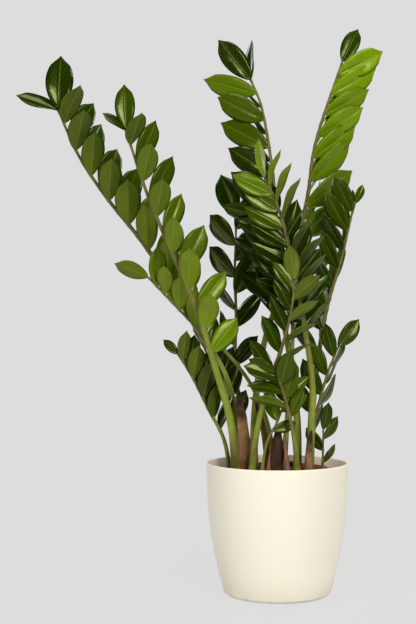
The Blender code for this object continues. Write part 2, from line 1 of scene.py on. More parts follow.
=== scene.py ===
# %% [markdown]
# # A potted zz plant
#
# The object is a living zz plant in a terracotta-coloured nursery pot, set inside a taller cream cover pot.
# The shape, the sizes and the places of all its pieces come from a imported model, the frame. This script gives
# each piece its finished form and surface: turned pots, stems that swell at every leaflet, leaflets with a
# folded midrib, papery sheaths, knobbly rhizomes and crumbly mix. Lengths are in metres and +Z is up. The
# origin is the middle of the cover pot's underside, and the front of the plant faces -Y.

import math
import random

import bmesh
import bpy
from mathutils import Matrix, Vector, noise


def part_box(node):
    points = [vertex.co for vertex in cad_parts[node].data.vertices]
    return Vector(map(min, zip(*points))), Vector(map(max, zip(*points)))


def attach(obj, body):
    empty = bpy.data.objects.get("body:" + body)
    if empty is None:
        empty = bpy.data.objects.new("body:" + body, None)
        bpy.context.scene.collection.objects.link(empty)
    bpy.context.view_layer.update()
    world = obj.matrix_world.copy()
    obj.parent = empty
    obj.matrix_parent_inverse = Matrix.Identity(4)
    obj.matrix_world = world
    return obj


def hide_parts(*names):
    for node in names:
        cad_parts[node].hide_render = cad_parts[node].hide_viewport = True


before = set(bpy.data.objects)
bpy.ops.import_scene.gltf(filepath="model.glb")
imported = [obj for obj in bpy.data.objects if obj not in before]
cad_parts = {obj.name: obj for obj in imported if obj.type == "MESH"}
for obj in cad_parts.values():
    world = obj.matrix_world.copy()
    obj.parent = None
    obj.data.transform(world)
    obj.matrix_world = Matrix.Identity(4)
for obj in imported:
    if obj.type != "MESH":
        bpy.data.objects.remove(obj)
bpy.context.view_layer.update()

# %% [markdown]
# ## Sizes
#
# The pots and the mix are turned forms, so a few radii and heights describe them. They repeat the sizes that
# the frame was made with, and the next cell measures the frame's own boxes to show that they agree. Writing
# each size once keeps pieces that touch in step: the nursery pot's rim, the mix below it and every stem's
# foot are all worked out from these values.

# %% Sizes of the pots and the mix
POT_H = 0.232           # cover pot
POT_R = 0.125
POT_FOOT_R = 0.093
POT_WALL = 0.0035
POT_FLOOR = 0.005
POT_BELLY = 2.4         # how late the side curves in towards the foot

GAP = 0.0003            # clearance between pieces that touch
INNER_TOP = POT_H - 0.011
INNER_R = 0.097         # nursery pot
INNER_FOOT_R = 0.076
INNER_WALL = 0.0018
INNER_LIP = 0.0035
INNER_BASE = POT_FLOOR + GAP
DRAIN_R = 0.006
DRAIN_COUNT = 6

SOIL_TOP = INNER_TOP - 0.012
SOIL_CROWN = 0.008      # how much the mix rises at the centre
SEAT = 0.026            # how deep the stems stand in the mix

for node, radius, height in (("cachepot", POT_R, POT_H), ("nursery_pot", INNER_R, INNER_TOP)):
    low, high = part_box(node)
    print(node, "radius and top:", round(high[0], 4), round(high[2], 4), "for", radius, round(height, 4))

# %% [markdown]
# ## The fronds
#
# What looks like a branch is one compound leaf: a fleshy petiole below, a rachis above it, and two ranks of
# glossy leaflets. Such a frond could be modelled by hand, but sixteen of them follow the same rule, so each
# is described by a smooth path and by the directions of its two ranks. The table is written as a grower would
# note it down. A path's points are x, y and height above the mix, in millimetres.

# %% The frond table
# r: radius at foot and tip. n, span: leaflets, and where they sit along the path. crowd: under 0.92, the
# leaflets stand closer together towards the tip.
# left, right: the two ranks, each (direction, face, splay), in degrees around the stem from +X towards +Y;
# a pair is (lowest leaflet, highest leaflet). blade: leaflet length, low and high.
# tips: leaflets at the very end, each (direction, face, splay, scale).
FRONDS = {
    "frond_left_outer": {
        "r": (0.0095, 0.002), "n": 14, "span": (0.48, 0.965), "blade": (0.096, 0.09),
        "left": (18, (-66, -38), (64, 54)), "right": (-45, (62, 118), (44, 58)),
        "tips": ((0, -88, 26, 1.14), (190, -28, 44, 0.9)),
        "path": [(-60, 14, 0), (-69, 16, 82), (-94, 22, 179), (-150, 28, 272), (-231, 36, 402),
                 (-307, 42, 498), (-358, 46, 575), (-395, 50, 657)]},
    "frond_left_inner": {
        "r": (0.0095, 0.002), "n": 12, "span": (0.38, 0.96), "blade": (0.092, 0.08),
        "left": (8, (-80, -34), (58, 46)), "right": (-52, (72, 112), (40, 48)),
        "tips": ((20, -90, 16, 1.0), (196, -30, 34, 0.62)),
        "path": [(-72, -24, 0), (-82, -36, 92), (-111, -52, 196), (-143, -60, 297), (-185, -70, 393),
                 (-222, -78, 479), (-248, -85, 554), (-263, -90, 601)]},
    "frond_left_low": {
        "r": (0.006, 0.0018), "n": 7, "span": (0.68, 0.95), "blade": (0.076, 0.07),
        "left": (10, -50, (56, 46)), "right": (-30, (92, 70), (54, 44)),
        "tips": ((190, 88, 22, 0.95),),
        "path": [(0, -4, 0), (-16, 0, 87), (-48, 4, 164), (-98, 2, 226), (-140, 2, 260), (-188, -4, 309),
                 (-228, -18, 351)]},
    "frond_left_short": {
        "r": (0.0055, 0.0016), "n": 8, "span": (0.42, 0.94), "blade": (0.082, 0.062),
        "left": (10, (-140, -60), (42, 42)), "right": (-20, (142, 112), (38, 42)),
        "tips": ((180, -80, 12, 0.6),),
        "path": [(-80, -4, 0), (-93, -6, 59), (-121, -6, 116), (-151, -6, 175), (-176, -6, 215)]},
    "frond_left_back": {
        "r": (0.0055, 0.0016), "n": 9, "span": (0.42, 0.94), "blade": (0.085, 0.07),
        "left": (6, -66, (46, 40)), "right": (95, -5, (36, 32)),
        "tips": ((30, -90, 10, 0.8),),
        "path": [(-65, 36, 0), (-75, 50, 61), (-95, 58, 130), (-117, 60, 191), (-134, 60, 239)]},
    "frond_back_dark": {
        "r": (0.0065, 0.0017), "n": 9, "span": (0.44, 0.95), "blade": (0.088, 0.09),
        "left": (-30, -112, (40, 38)), "right": (158, (-176, -128), (34, 48)),
        "tips": ((165, -100, 20, 1.0),),
        "path": [(-52, 59, 0), (-60, 81, 91), (-73, 105, 182), (-70, 125, 275), (-72, 140, 369),
                 (-70, 145, 430), (-70, 150, 472)]},
    "frond_centre_top": {
        "r": (0.009, 0.002), "n": 15, "span": (0.46, 0.965), "blade": (0.106, 0.096),
        "left": (182, (-74, -124), (50, 52)), "right": (122, 170, (44, 44)),
        "tips": ((190, -92, 18, 0.98), (20, -150, 20, 0.8)),
        "path": [(36, 12, 0), (37, 18, 96), (21, 30, 231), (4, 46, 321), (-1, 50, 421), (-3, 46, 520),
                 (-23, 42, 650), (-45, 40, 710)]},
    "frond_right_top": {
        "r": (0.009, 0.002), "n": 17, "span": (0.5, 0.97), "crowd": 0.78, "blade": (0.118, 0.094),
        "left": (4, -58, (46, 43)), "right": (62, 0, (43, 40)),
        "tips": ((40, -95, 10, 0.74),),
        "path": [(-39, 50, 0), (-37, 60, 111), (-18, 78, 239), (18, 92, 340), (44, 98, 423), (62, 94, 507),
                 (77, 86, 607), (123, 70, 748)]},
    "frond_centre_mid": {
        "r": (0.0095, 0.002), "n": 17, "span": (0.5, 0.97), "blade": (0.09, 0.074),
        "left": (-10, (162, 150), (42, 34)), "right": (-172, (-22, -84), (46, 40)),
        "tips": ((60, 150, 24, 0.95),),
        "path": [(55, -28, 0), (58, -33, 83), (59, -42, 171), (42, -55, 280), (20, -75, 386),
                 (-1, -88, 464), (-26, -98, 518)]},
    "frond_centre_left": {
        "r": (0.007, 0.0018), "n": 12, "span": (0.52, 0.96), "blade": (0.098, 0.074),
        "left": (10, (-140, -58), (42, 42)), "right": (186, (-26, -112), (44, 40)),
        "tips": ((60, -90, 16, 0.8),),
        "path": [(8, -22, 0), (17, -18, 99), (26, -18, 223), (23, -30, 329), (8, -45, 403), (-15, -55, 443),
                 (-40, -63, 472)]},
    "frond_right_mid": {
        "r": (0.008, 0.0018), "n": 15, "span": (0.46, 0.97), "blade": (0.092, 0.074),
        "left": (174, (-150, -124), (46, 44)), "right": (90, 14, (41, 40)),
        "tips": ((30, -60, 12, 0.5),),
        "path": [(53, 20, 0), (65, 30, 104), (76, 35, 203), (92, 35, 297), (117, 30, 384), (132, 22, 452),
                 (141, 18, 485)]},
    "frond_centre_front": {
        "r": (0.0085, 0.0017), "n": 10, "span": (0.5, 0.96), "blade": (0.078, 0.06),
        "left": (0, (162, 116), (36, 40)), "right": (180, (-30, -60), (44, 36)),
        "tips": ((150, 84, 12, 1.0),),
        "path": [(-51, -50, 0), (-36, -62, 96), (-15, -80, 173), (8, -98, 246), (20, -108, 302),
                 (23, -112, 344)]},
    "frond_front_small": {
        "r": (0.0075, 0.0017), "n": 6, "span": (0.62, 0.95), "blade": (0.072, 0.062),
        "left": (-20, (-140, -84), (34, 30)), "right": (182, (38, -34), (58, 50)),
        "tips": ((170, -100, 50, 0.85),),
        "path": [(36, -66, 0), (25, -80, 74), (9, -94, 142), (-7, -112, 188)]},
    "frond_right_low": {
        "r": (0.0055, 0.0016), "n": 8, "span": (0.42, 0.93), "blade": (0.078, 0.064),
        "left": (60, -24, (41, 40)), "right": (165, -128, (43, 41)),
        "tips": ((15, -80, 18, 0.98),),
        "path": [(60, 0, 0), (65, -5, 81), (75, -12, 134), (89, -20, 184), (106, -25, 228)]},
    "frond_right_tiny": {
        "r": (0.0032, 0.0014), "n": 3, "span": (0.46, 0.84), "blade": (0.05, 0.05),
        "left": (20, -60, (40, 38)), "right": (170, -110, (42, 40)),
        "tips": ((10, -80, 12, 1.0),),
        "path": [(79, -12, 0), (80, -20, 47), (80, -26, 83)]},
    "frond_front_thin": {
        "r": (0.0038, 0.0014), "n": 5, "span": (0.58, 0.94), "blade": (0.056, 0.05),
        "left": (0, -65, (42, 40)), "right": (180, -112, (44, 40)),
        "tips": ((90, -90, 10, 0.9),),
        "path": [(-35, -70, 0), (-23, -78, 60), (-5, -66, 96), (9, -62, 131), (18, -60, 162)]},
}

# %% [markdown]
# ## The small pieces at the mix
#
# Dry sheaths, two young shoots, two rhizomes and four flakes of bark stand between the stems. They are few
# and each has its own size, so a row of numbers for each is enough: where it stands, how it leans, how tall
# and how wide it is, and how far it is turned.

# %% Tables of the small pieces
# foot x, y; lean x, y; height; half-width; half-depth; turn in degrees
SHEATHS = {
    "sheath_tall": (-0.056, -0.022, -0.014, -0.002, 0.156, 0.0130, 0.0017, 16),
    "sheath_inner": (-0.012, 0.017, -0.030, 0.006, 0.150, 0.0095, 0.0013, 20),
    "sheath_right": (0.052, -0.046, 0.006, -0.002, 0.085, 0.0065, 0.0013, -12),
}
SHOOTS = {
    "shoot_front": (0.015, -0.062, -0.006, 0.003, 0.068, 0.0060, 0.0054, 0),
    "shoot_small": (-0.0185, -0.062, 0.003, 0.000, 0.046, 0.0048, 0.0044, 0),
}
RHIZOMES = {
    "rhizome_centre": (-0.003, -0.044, 0.004, 0.002, 0.088, 0.0145, 0.0100, 10),
    "rhizome_right": (0.028, 0.050, 0.000, 0.000, 0.014, 0.0150, 0.0120, 40),
}
# x, y; length, width, thickness; turn in degrees
CHIPS = {
    "bark_chip_a": (-0.022, -0.014, 0.019, 0.011, 0.0090, 24),
    "bark_chip_b": (-0.030, -0.064, 0.015, 0.009, 0.0050, -38),
    "bark_chip_c": (0.075, -0.024, 0.017, 0.010, 0.0050, 62),
    "bark_chip_d": (-0.010, 0.070, 0.018, 0.010, 0.0050, 8),
}

# %% [markdown]
# ## The path of a stem
#
# A stem grows in one smooth sweep. A curve through a handful of points does that, and a Catmull-Rom curve is
# the simplest one that passes through every point. It is walked in even steps, so that a position along the
# stem is a plain share from 0 at the foot to 1 at the tip.

# %% Smooth paths and stems
def smooth_path(points, count=120):
    """Evenly spaced points on a Catmull-Rom curve through the given ones."""
    ends = [points[0] * 2 - points[1], *points, points[-1] * 2 - points[-2]]
    dense = []
    for a, b, c, d in zip(ends, ends[1:], ends[2:], ends[3:]):
        for step in range(30):
            t = step / 30
            bend = (a * 2 - b * 5 + c * 4 - d) * t * t + (b * 3 - a - c * 3 + d) * t ** 3
            dense.append((b * 2 + (c - a) * t + bend) * 0.5)
    dense.append(points[-1])
    reach = [0.0]
    for a, b in zip(dense, dense[1:]):
        reach.append(reach[-1] + (b - a).length)
    even, k = [], 0
    for step in range(count + 1):
        want = reach[-1] * step / count
        while k < len(dense) - 2 and reach[k + 1] < want:
            k += 1
        even.append(dense[k].lerp(dense[k + 1], (want - reach[k]) / (reach[k + 1] - reach[k])))
    return even


class Stem:
    """The centre line of a frond, with a point, a direction and a radius at any t from 0 to 1."""

    def __init__(self, frond):
        points = [Vector((x / 1000, y / 1000, SOIL_TOP + height / 1000)) for x, y, height in frond["path"]]
        points[0].z = SOIL_TOP - SEAT
        self.line = smooth_path(points)
        self.length = sum((b - a).length for a, b in zip(self.line, self.line[1:]))
        self.radii = frond["r"]

    def at(self, t):
        place = min(max(t, 0.0), 1.0) * (len(self.line) - 1)
        k = min(int(place), len(self.line) - 2)
        return self.line[k].lerp(self.line[k + 1], place - k)

    def along(self, t):
        return (self.at(t + 0.01) - self.at(t - 0.01)).normalized()

    def radius(self, t):
        foot, tip = self.radii
        return foot + (tip - foot) * min(max(t, 0.0), 1.0) ** 0.6


stems = {name: Stem(frond) for name, frond in FRONDS.items()}
print("fronds:", len(stems), "lengths", [round(stem.length, 3) for stem in stems.values()])

# %% [markdown]
# ## Where every leaflet sits
#
# Leaflets leave the rachis in turn, left and right, a little closer together towards the tip. Each is
# described by its root on the stem, the way it points, the direction that its upper side faces, its length
# and how far its tip bends back. A small seeded variation keeps the ranks from looking stamped, and the seed
# is the frond's own name, so that the leaflets land where the frame's plain ones are.

# %% Leaflets of a frond
def around(axis, degrees):
    """The direction this many degrees around the axis, counted from +X towards +Y."""
    right = (Vector((1, 0, 0)) - axis * axis.x).normalized()
    away = axis.cross(right)
    turn = math.radians(degrees)
    return right * math.cos(turn) + away * math.sin(turn)


def between(pair, k):
    low, high = pair if isinstance(pair, tuple) else (pair, pair)
    return low + (high - low) * k


def pose(stem, t, direction, face, splay, size, bend):
    along = stem.along(t)
    out = around(along, direction)
    tilt = math.radians(splay)
    way = along * math.cos(tilt) + out * math.sin(tilt)
    normal = around(along, face)
    normal = (normal - way * normal.dot(way)).normalized()
    return {"t": t, "root": stem.at(t), "way": way, "normal": normal, "length": size,
            "bend": math.radians(bend)}


def leaflets(name, frond, stem):
    """Every leaflet of a frond, from the lowest up, as a dictionary of its place and pose."""
    chance = random.Random(name)
    start, end = frond["span"]
    count = frond["n"]
    found = []
    for index in range(count):
        k = index / (count - 1)
        rank = "right" if index % 2 else "left"
        direction, face, splay = (between(value, k) for value in frond[rank])
        t = start + (end - start) * k ** frond.get("crowd", 0.92)
        size = between(frond["blade"], k) * (0.84 + 0.16 * min(1.0, k * 5)) * chance.uniform(0.93, 1.05)
        direction += chance.uniform(-4, 4)
        splay += chance.uniform(-4, 4)
        face += chance.uniform(-13, 13)
        found.append(pose(stem, t, direction, face, splay, size, chance.uniform(-15, -9)))
    for direction, face, splay, scale in frond.get("tips", ()):
        found.append(pose(stem, 1.0, direction, face, splay, frond["blade"][1] * scale, -10))
    return found


sprays = {name: leaflets(name, frond, stems[name]) for name, frond in FRONDS.items()}
print("leaflets:", sum(len(spray) for spray in sprays.values()))

# %% [markdown]
# ## Wiring nodes
#
# The stems, the leaflets, the crumbs of mix and all the finishes are node trees, and most of their steps are
# sums. So an output is wrapped in a class that knows its tree: a * b or abs(a) on such values adds the Math
# node that does it, and a tree then reads like algebra. The other helpers add a node, open a group with its
# usual inputs, and give it its outputs.

# %% Node helpers
class Value:
    """An output of a node. Python's own sums on it add Math nodes to its tree."""

    def __init__(self, tree, socket):
        self.tree, self.socket = tree, socket

    def math(self, operation, *others):
        return calculate(self.tree, "ShaderNodeMath", operation, self, *others)

    def vector(self, operation, *others):
        return calculate(self.tree, "ShaderNodeVectorMath", operation, self, *others)

    def axis(self, letter):
        return add(self.tree, "ShaderNodeSeparateXYZ", {"Vector": self})[letter]

    def step(self, start, end, first=0.0, last=1.0):
        """A smooth step from first to last, while the value goes from start to end."""
        plugs = {"Value": self, "From Min": start, "From Max": end, "To Min": first, "To Max": last}
        return add(self.tree, "ShaderNodeMapRange", plugs, interpolation_type="SMOOTHSTEP")["Result"]

    def into(self, kind, plugs=None, **settings):
        """Sends the value into the first socket of a new node; returns what comes out."""
        made = add(self.tree, kind, plugs, **settings)
        fill(self.tree, made.node.inputs[0], self)
        return made[0]

    def __add__(self, other):
        return self.math("ADD", other)

    def __sub__(self, other):
        return self.math("SUBTRACT", other)

    def __rsub__(self, other):
        return calculate(self.tree, "ShaderNodeMath", "SUBTRACT", other, self)

    def __mul__(self, other):
        return self.math("MULTIPLY", other)

    def __truediv__(self, other):
        return self.math("DIVIDE", other)

    def __pow__(self, power):
        return self.math("POWER", power)

    def __abs__(self):
        return self.math("ABSOLUTE")


class Made:
    """A node in its tree; made["Fac"] or made[0] is one of its outputs, as a value."""

    def __init__(self, tree, node):
        self.tree, self.node = tree, node

    def __getitem__(self, key):
        return Value(self.tree, self.node.outputs[key])


def fill(tree, socket, value):
    if isinstance(value, Value):
        tree.links.new(value.socket, socket)
    else:
        socket.default_value = value


def add(tree, kind, plugs=None, **settings):
    """Adds a node, applies its settings and fills its sockets by name."""
    node = tree.nodes.new(kind)
    for key, value in settings.items():
        setattr(node, key, value)
    for key, value in (plugs or {}).items():
        fill(tree, node.inputs[key], value)
    return Made(tree, node)


def calculate(tree, kind, operation, *terms):
    """One Math or Vector Math node; returns its output."""
    made = add(tree, kind, operation=operation)
    for socket, term in zip([socket for socket in made.node.inputs if socket.enabled], terms):
        fill(tree, socket, term)
    return made["Value" if kind == "ShaderNodeMath" or operation == "LENGTH" else "Vector"]


def new_tree(name, kind, **inputs):
    """A node group. Each input is its usual number, or the name of its socket's type."""
    tree = bpy.data.node_groups.new(name, kind)
    for title, usual in inputs.items():
        named_type = isinstance(usual, str)
        socket_type = "NodeSocket" + (usual if named_type else type(usual).__name__.title())
        socket = tree.interface.new_socket(title.replace("_", " "), in_out="INPUT", socket_type=socket_type)
        if not named_type:
            socket.default_value = usual
    return tree, Made(tree, tree.nodes.new("NodeGroupInput"))


def deliver(tree, kind, **results):
    """Gives a group its named outputs, all of one type, and returns the group."""
    for title in results:
        tree.interface.new_socket(title, in_out="OUTPUT", socket_type="NodeSocket" + kind)
    end = tree.nodes.new("NodeGroupOutput")
    for title, value in results.items():
        fill(tree, end.inputs[title], value)
    return tree


def noise_at(place, scale, **more):
    return add(place.tree, "ShaderNodeTexNoise", {"Vector": place, "Scale": scale, **more})["Fac"]


print("node helpers ready")

# %% [markdown]
# ## Shared surface effects
#
# Several finishes need the same things: an uneven tint, a fine grain to break up the gloss, and specks. Each
# is a shader node group, built once and given its own values wherever it is used. A group only puts out
# masks and heights that vary over the surface; the shader itself stays in each material.

# %% Tint, grain and specks
def make_tint():
    """A soft, cloudy mask around one half, for uneven colour."""
    tree, given = new_tree("uneven_tint", "ShaderNodeTree", Place="Vector", Scale=20.0, Spread=0.5)
    cloud = noise_at(given["Place"], given["Scale"], Detail=4.0, Roughness=0.55)
    spread = (cloud - 0.5) * given["Spread"] + 0.5
    return deliver(tree, "Float", Mask=spread.math("MAXIMUM", 0.0).math("MINIMUM", 1.0))


def make_grain():
    """Two layers of fine relief, as skin, moulded plastic and paper all have."""
    tree, given = new_tree("fine_grain", "ShaderNodeTree", Place="Vector", Scale=300.0, Coarse=0.4)
    fine = noise_at(given["Place"], given["Scale"], Detail=3.0, Roughness=0.6)
    broad = noise_at(given["Place"], given["Scale"] * 0.14, Detail=2.0)
    return deliver(tree, "Float", Height=broad * given["Coarse"] + fine)


def make_specks():
    """Small separate spots, more of them as Amount grows."""
    tree, given = new_tree("specks", "ShaderNodeTree", Place="Vector", Scale=200.0, Amount=0.3)
    cells = add(tree, "ShaderNodeTexVoronoi", {"Vector": given["Place"], "Scale": given["Scale"]})
    patch = noise_at(given["Place"], given["Scale"] * 0.2, Detail=2.0)
    spot = patch * 1.4 * given["Amount"] - cells["Distance"]
    return deliver(tree, "Float", Mask=spot.step(-0.03, 0.08))


TINT, GRAIN, SPECKS = make_tint(), make_grain(), make_specks()
print("shared effects:", TINT.name, GRAIN.name, SPECKS.name)

# %% Putting a finish together
def finish(name, roughness, specular=0.5, **constants):
    """A material, and the place on the piece that its patterns read."""
    material = bpy.data.materials.new(name)
    material.use_nodes = True
    inputs = material.node_tree.nodes["Principled BSDF"].inputs
    inputs["Roughness"].default_value = roughness
    inputs["Specular IOR Level"].default_value = specular
    for key, value in constants.items():
        inputs[key.replace("_", " ").title()].default_value = value
    return material, add(material.node_tree, "ShaderNodeTexCoord")["Object"]


def dress(material, colour, height, distance, rough=None):
    """Plugs a colour, a relief and perhaps a roughness into a finish, and returns it."""
    tree = material.node_tree
    inputs = tree.nodes["Principled BSDF"].inputs
    fill(tree, inputs["Base Color"], colour)
    bump = add(tree, "ShaderNodeBump", {"Height": height, "Distance": distance})
    fill(tree, inputs["Normal"], bump["Normal"])
    if rough:
        fill(tree, inputs["Roughness"], rough)
    return material


def effect(group, place, scale, **more):
    """Uses a shared effect and returns its first output."""
    plugs = {"Place": place, "Scale": scale, **more}
    return add(place.tree, "ShaderNodeGroup", plugs, node_tree=group)[0]


def blend(mask, first, second):
    """Mixes two colours, given as numbers or values, by a mask."""
    made = add(mask.tree, "ShaderNodeMix", data_type="RGBA")
    fill(mask.tree, made.node.inputs["Factor"], mask)
    for socket, colour in ((made.node.inputs[6], first), (made.node.inputs[7], second)):
        fill(mask.tree, socket, (*colour, 1.0) if isinstance(colour, tuple) else colour)
    return made[2]


def coats(colour, *layers):
    """Lays more colours over a first one, each as (mask, strength, colour)."""
    for mask, strength, paint in layers:
        colour = blend(mask * strength, colour, paint)
    return colour


def attribute(tree, name):
    return add(tree, "ShaderNodeAttribute", attribute_name=name)["Fac"]


print("finish helpers ready")

# %% [markdown]
# ## Plastic of the two pots
#
# The cover pot is moulded in warm cream plastic with a satin surface, a little duller in broad patches where
# it has been handled, and with a faint film of dust near its foot. The nursery pot inside is thin terracotta
# coloured plastic, scuffed at the rim. A painted texture would tie the finish to one pot, so both are made
# from noise in object space.

# %% Pot finishes
def make_cream_plastic():
    material, place = finish("cream_plastic", 0.44, coat_weight=0.08, coat_roughness=0.35)
    cloud = effect(TINT, place, 9.0, Spread=0.8)
    height = place.axis("Z")
    out = place.vector("MULTIPLY", (1.0, 1.0, 0.0)).vector("LENGTH")
    # the upper inner wall, below the rim, is painted lighter and warmer: painted light where shade falls inside
    # the pot
    inside = out.step(POT_R - 0.0015, POT_R - 0.003) * height.step(POT_H * 0.8, POT_H * 0.9)
    dust = height.step(0.045, 0.0) * effect(TINT, place, 46.0, Spread=2.4)
    colour = coats(blend(cloud, (0.800, 0.765, 0.640), (0.830, 0.800, 0.680)),
                   (inside, 0.70, (1.0, 0.86, 0.76)),
                   (dust, 0.30, (0.62, 0.49, 0.30)),
                   (effect(SPECKS, place, 70.0, Amount=0.10), 0.16, (0.70, 0.60, 0.42)))
    grain = effect(GRAIN, place, 420.0, Coarse=0.9)
    return dress(material, colour, grain, 0.00006, cloud.step(0.0, 1.0, 0.42, 0.52))


def make_terracotta_plastic():
    material, place = finish("terracotta_plastic", 0.5)
    cloud = effect(TINT, place, 24.0, Spread=1.4)
    rim = place.axis("Z").step(INNER_TOP - 0.003, INNER_TOP)
    colour = coats(blend(cloud, (0.30, 0.062, 0.030), (0.42, 0.105, 0.052)),
                   (rim, effect(SPECKS, place, 240.0, Amount=0.42), (0.56, 0.26, 0.17)),
                   (effect(SPECKS, place, 130.0, Amount=0.30), 0.7, (0.09, 0.05, 0.03)))
    grain = effect(GRAIN, place, 520.0, Coarse=0.5)
    return dress(material, colour, grain, 0.00010, cloud.step(0.0, 1.0, 0.42, 0.62))


cream_plastic, terracotta_plastic = make_cream_plastic(), make_terracotta_plastic()
print("pot finishes:", cream_plastic.name, terracotta_plastic.name)

# %% [markdown]
# ## The cover pot and the nursery pot
#
# Both pots are turned forms. A potter would draw half of the section and turn it round, and Spin does the
# same: the profile starts on the axis inside the floor, climbs the inner wall, rolls over the rim and comes
# down outside. The side follows one formula, and the rim is a half circle as wide as the wall. The nursery
# pot also has a collar below its rim, and drain holes that are cut through its floor.

# %% Turning a profile
def new_piece(name, mesh, *materials):
    piece = bpy.data.objects.new(name, mesh)
    bpy.context.scene.collection.objects.link(piece)
    for material in materials:
        mesh.materials.append(material)
    return piece


def settle(piece, node):
    """Hides the frame's node that a piece replaces and hangs the piece on the root body; returns its face
    count.
    """
    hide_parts(node)
    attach(piece, "root")
    return len(piece.data.polygons)


def to_mesh(bm, name, sharp=40):
    bmesh.ops.recalc_face_normals(bm, faces=bm.faces)
    mesh = bpy.data.meshes.new(name)
    bm.to_mesh(mesh)
    bm.free()
    mesh.shade_smooth()
    mesh.set_sharp_from_angle(angle=math.radians(sharp))
    return mesh


def turned(profile, steps):
    """Spins a profile about Z and closes it; both of its ends lie on the axis."""
    bm = bmesh.new()
    chain = [bm.verts.new((radius, 0.0, height)) for radius, height in profile]
    edges = [bm.edges.new(pair) for pair in zip(chain, chain[1:])]
    bmesh.ops.spin(bm, geom=chain + edges, axis=(0, 0, 1), cent=(0, 0, 0), angle=math.tau, steps=steps)
    bmesh.ops.remove_doubles(bm, verts=bm.verts, dist=1e-5)
    # spinning and merging may leave the faces in another order each run, and the crumbs depend on that order
    bm.verts.index_update()
    rings = []
    for face in bm.faces:
        ring = [vert.index for vert in face.verts]
        first = ring.index(min(ring))
        rings.append(ring[first:] + ring[:first])
    ordered = bmesh.new()
    points = [ordered.verts.new(vert.co) for vert in bm.verts]
    for ring in sorted(rings):
        ordered.faces.new([points[k] for k in ring])
    bm.free()
    return ordered


def arc(middle, radius, start, end, steps):
    """Points of a circular arc in a profile, from one angle to another in degrees."""
    turns = [math.radians(start + (end - start) * k / steps) for k in range(steps + 1)]
    return [(middle[0] + radius * math.cos(turn), middle[1] + radius * math.sin(turn)) for turn in turns]


def pot_side(height):
    fall = max(0.0, 1.0 - height / POT_H)
    return POT_R - (POT_R - POT_FOOT_R) * fall ** POT_BELLY


def cachepot_profile():
    lip = POT_WALL / 2
    corner = 0.008          # round edge of the foot
    bend = 0.006            # round edge inside, at the floor
    heights = [POT_H * k / 24 for k in range(1, 24)]
    inner = [(pot_side(z) - POT_WALL, z) for z in heights if z > bend * 2]
    floor_bend = arc((pot_side(POT_FLOOR) - POT_WALL - bend, POT_FLOOR + bend), bend, -90, 0, 5)
    rim = arc((POT_R - lip, POT_H - lip), lip, 180, 0, 10)
    outer = [(pot_side(z), z) for z in reversed(heights) if z > corner]
    foot = arc((pot_side(corner) - corner, corner), corner, 0, -90, 7)
    return [(0.0, POT_FLOOR)] + floor_bend + inner + rim + outer + foot + [(0.0, 0.0)]


cachepot_mesh = to_mesh(turned(cachepot_profile(), 160), "cachepot_body")
cachepot = new_piece("cachepot_body", cachepot_mesh, cream_plastic)
underside = round(min(v.co.z for v in cachepot_mesh.vertices), 5)
print("cover pot:", settle(cachepot, "cachepot"), "faces, underside at", underside)


# %% The nursery pot, with its collar and drain holes
NURSERY_FLOOR = 0.0025
COLLAR = 0.016          # height of the collar below the rim


def nursery_side(height):
    """Outer radius of the nursery pot at a height above its own underside."""
    return INNER_FOOT_R + (INNER_R - INNER_LIP - INNER_FOOT_R) * height / (INNER_TOP - INNER_BASE)


def nursery_profile():
    tall = INNER_TOP - INNER_BASE
    collar = tall - COLLAR
    floor = INNER_BASE + NURSERY_FLOOR
    half = (INNER_R - nursery_side(tall) + INNER_WALL) / 2
    climb, fall = (0.03, 0.25, 0.5, 0.75, 0.97), (0.75, 0.5, 0.25, 0.04)
    inside = [(0.0, floor), (nursery_side(0) - INNER_WALL - 0.002, floor)]
    inside += [(nursery_side(tall * k) - INNER_WALL, INNER_BASE + tall * k) for k in climb]
    rim = [(INNER_R - half * 2 + 0.0006, INNER_TOP)]
    rim += arc((INNER_R - 0.001, INNER_TOP - 0.001), 0.001, 90, 0, 5)
    rim += [(INNER_R, INNER_BASE + collar + 0.0005), (INNER_R - 0.0005, INNER_BASE + collar)]
    outside = [(nursery_side(collar), INNER_BASE + collar)]
    outside += [(nursery_side(tall * k), INNER_BASE + tall * k) for k in fall]
    return inside + rim + outside + [(nursery_side(0) - 0.002, INNER_BASE), (0.0, INNER_BASE)]


def bake_modifiers(piece):
    """Replaces a piece's mesh by what its modifiers make of it, and removes them."""
    graph = bpy.context.evaluated_depsgraph_get()
    mesh = bpy.data.meshes.new_from_object(piece.evaluated_get(graph), preserve_all_data_layers=True,
                                           depsgraph=graph)
    piece.modifiers.clear()
    piece.data = mesh
    mesh.name = piece.name


def drill(piece, places, radius):
    """Cuts round holes along Z, then bakes the cut into the mesh."""
    bm = bmesh.new()
    for place in places:
        bmesh.ops.create_cone(bm, cap_ends=True, segments=24, radius1=radius, radius2=radius, depth=0.02,
                              matrix=Matrix.Translation(place))
    cutter = new_piece("drill", to_mesh(bm, "drill"))
    hole = piece.modifiers.new("holes", "BOOLEAN")
    hole.operation, hole.solver, hole.object = "DIFFERENCE", "EXACT", cutter
    bake_modifiers(piece)
    bpy.data.objects.remove(cutter)


nursery_mesh = to_mesh(turned(nursery_profile(), 128), "nursery")
nursery = new_piece("nursery_pot_body", nursery_mesh, terracotta_plastic)
ring = INNER_FOOT_R * 0.632
turns = [math.tau * (k + 0.5) / DRAIN_COUNT for k in range(DRAIN_COUNT)]
drill(nursery, [Vector((math.cos(t) * ring, math.sin(t) * ring, INNER_BASE)) for t in turns], DRAIN_R)
print("nursery pot:", settle(nursery, "nursery_pot"), "faces, holes:", DRAIN_COUNT)

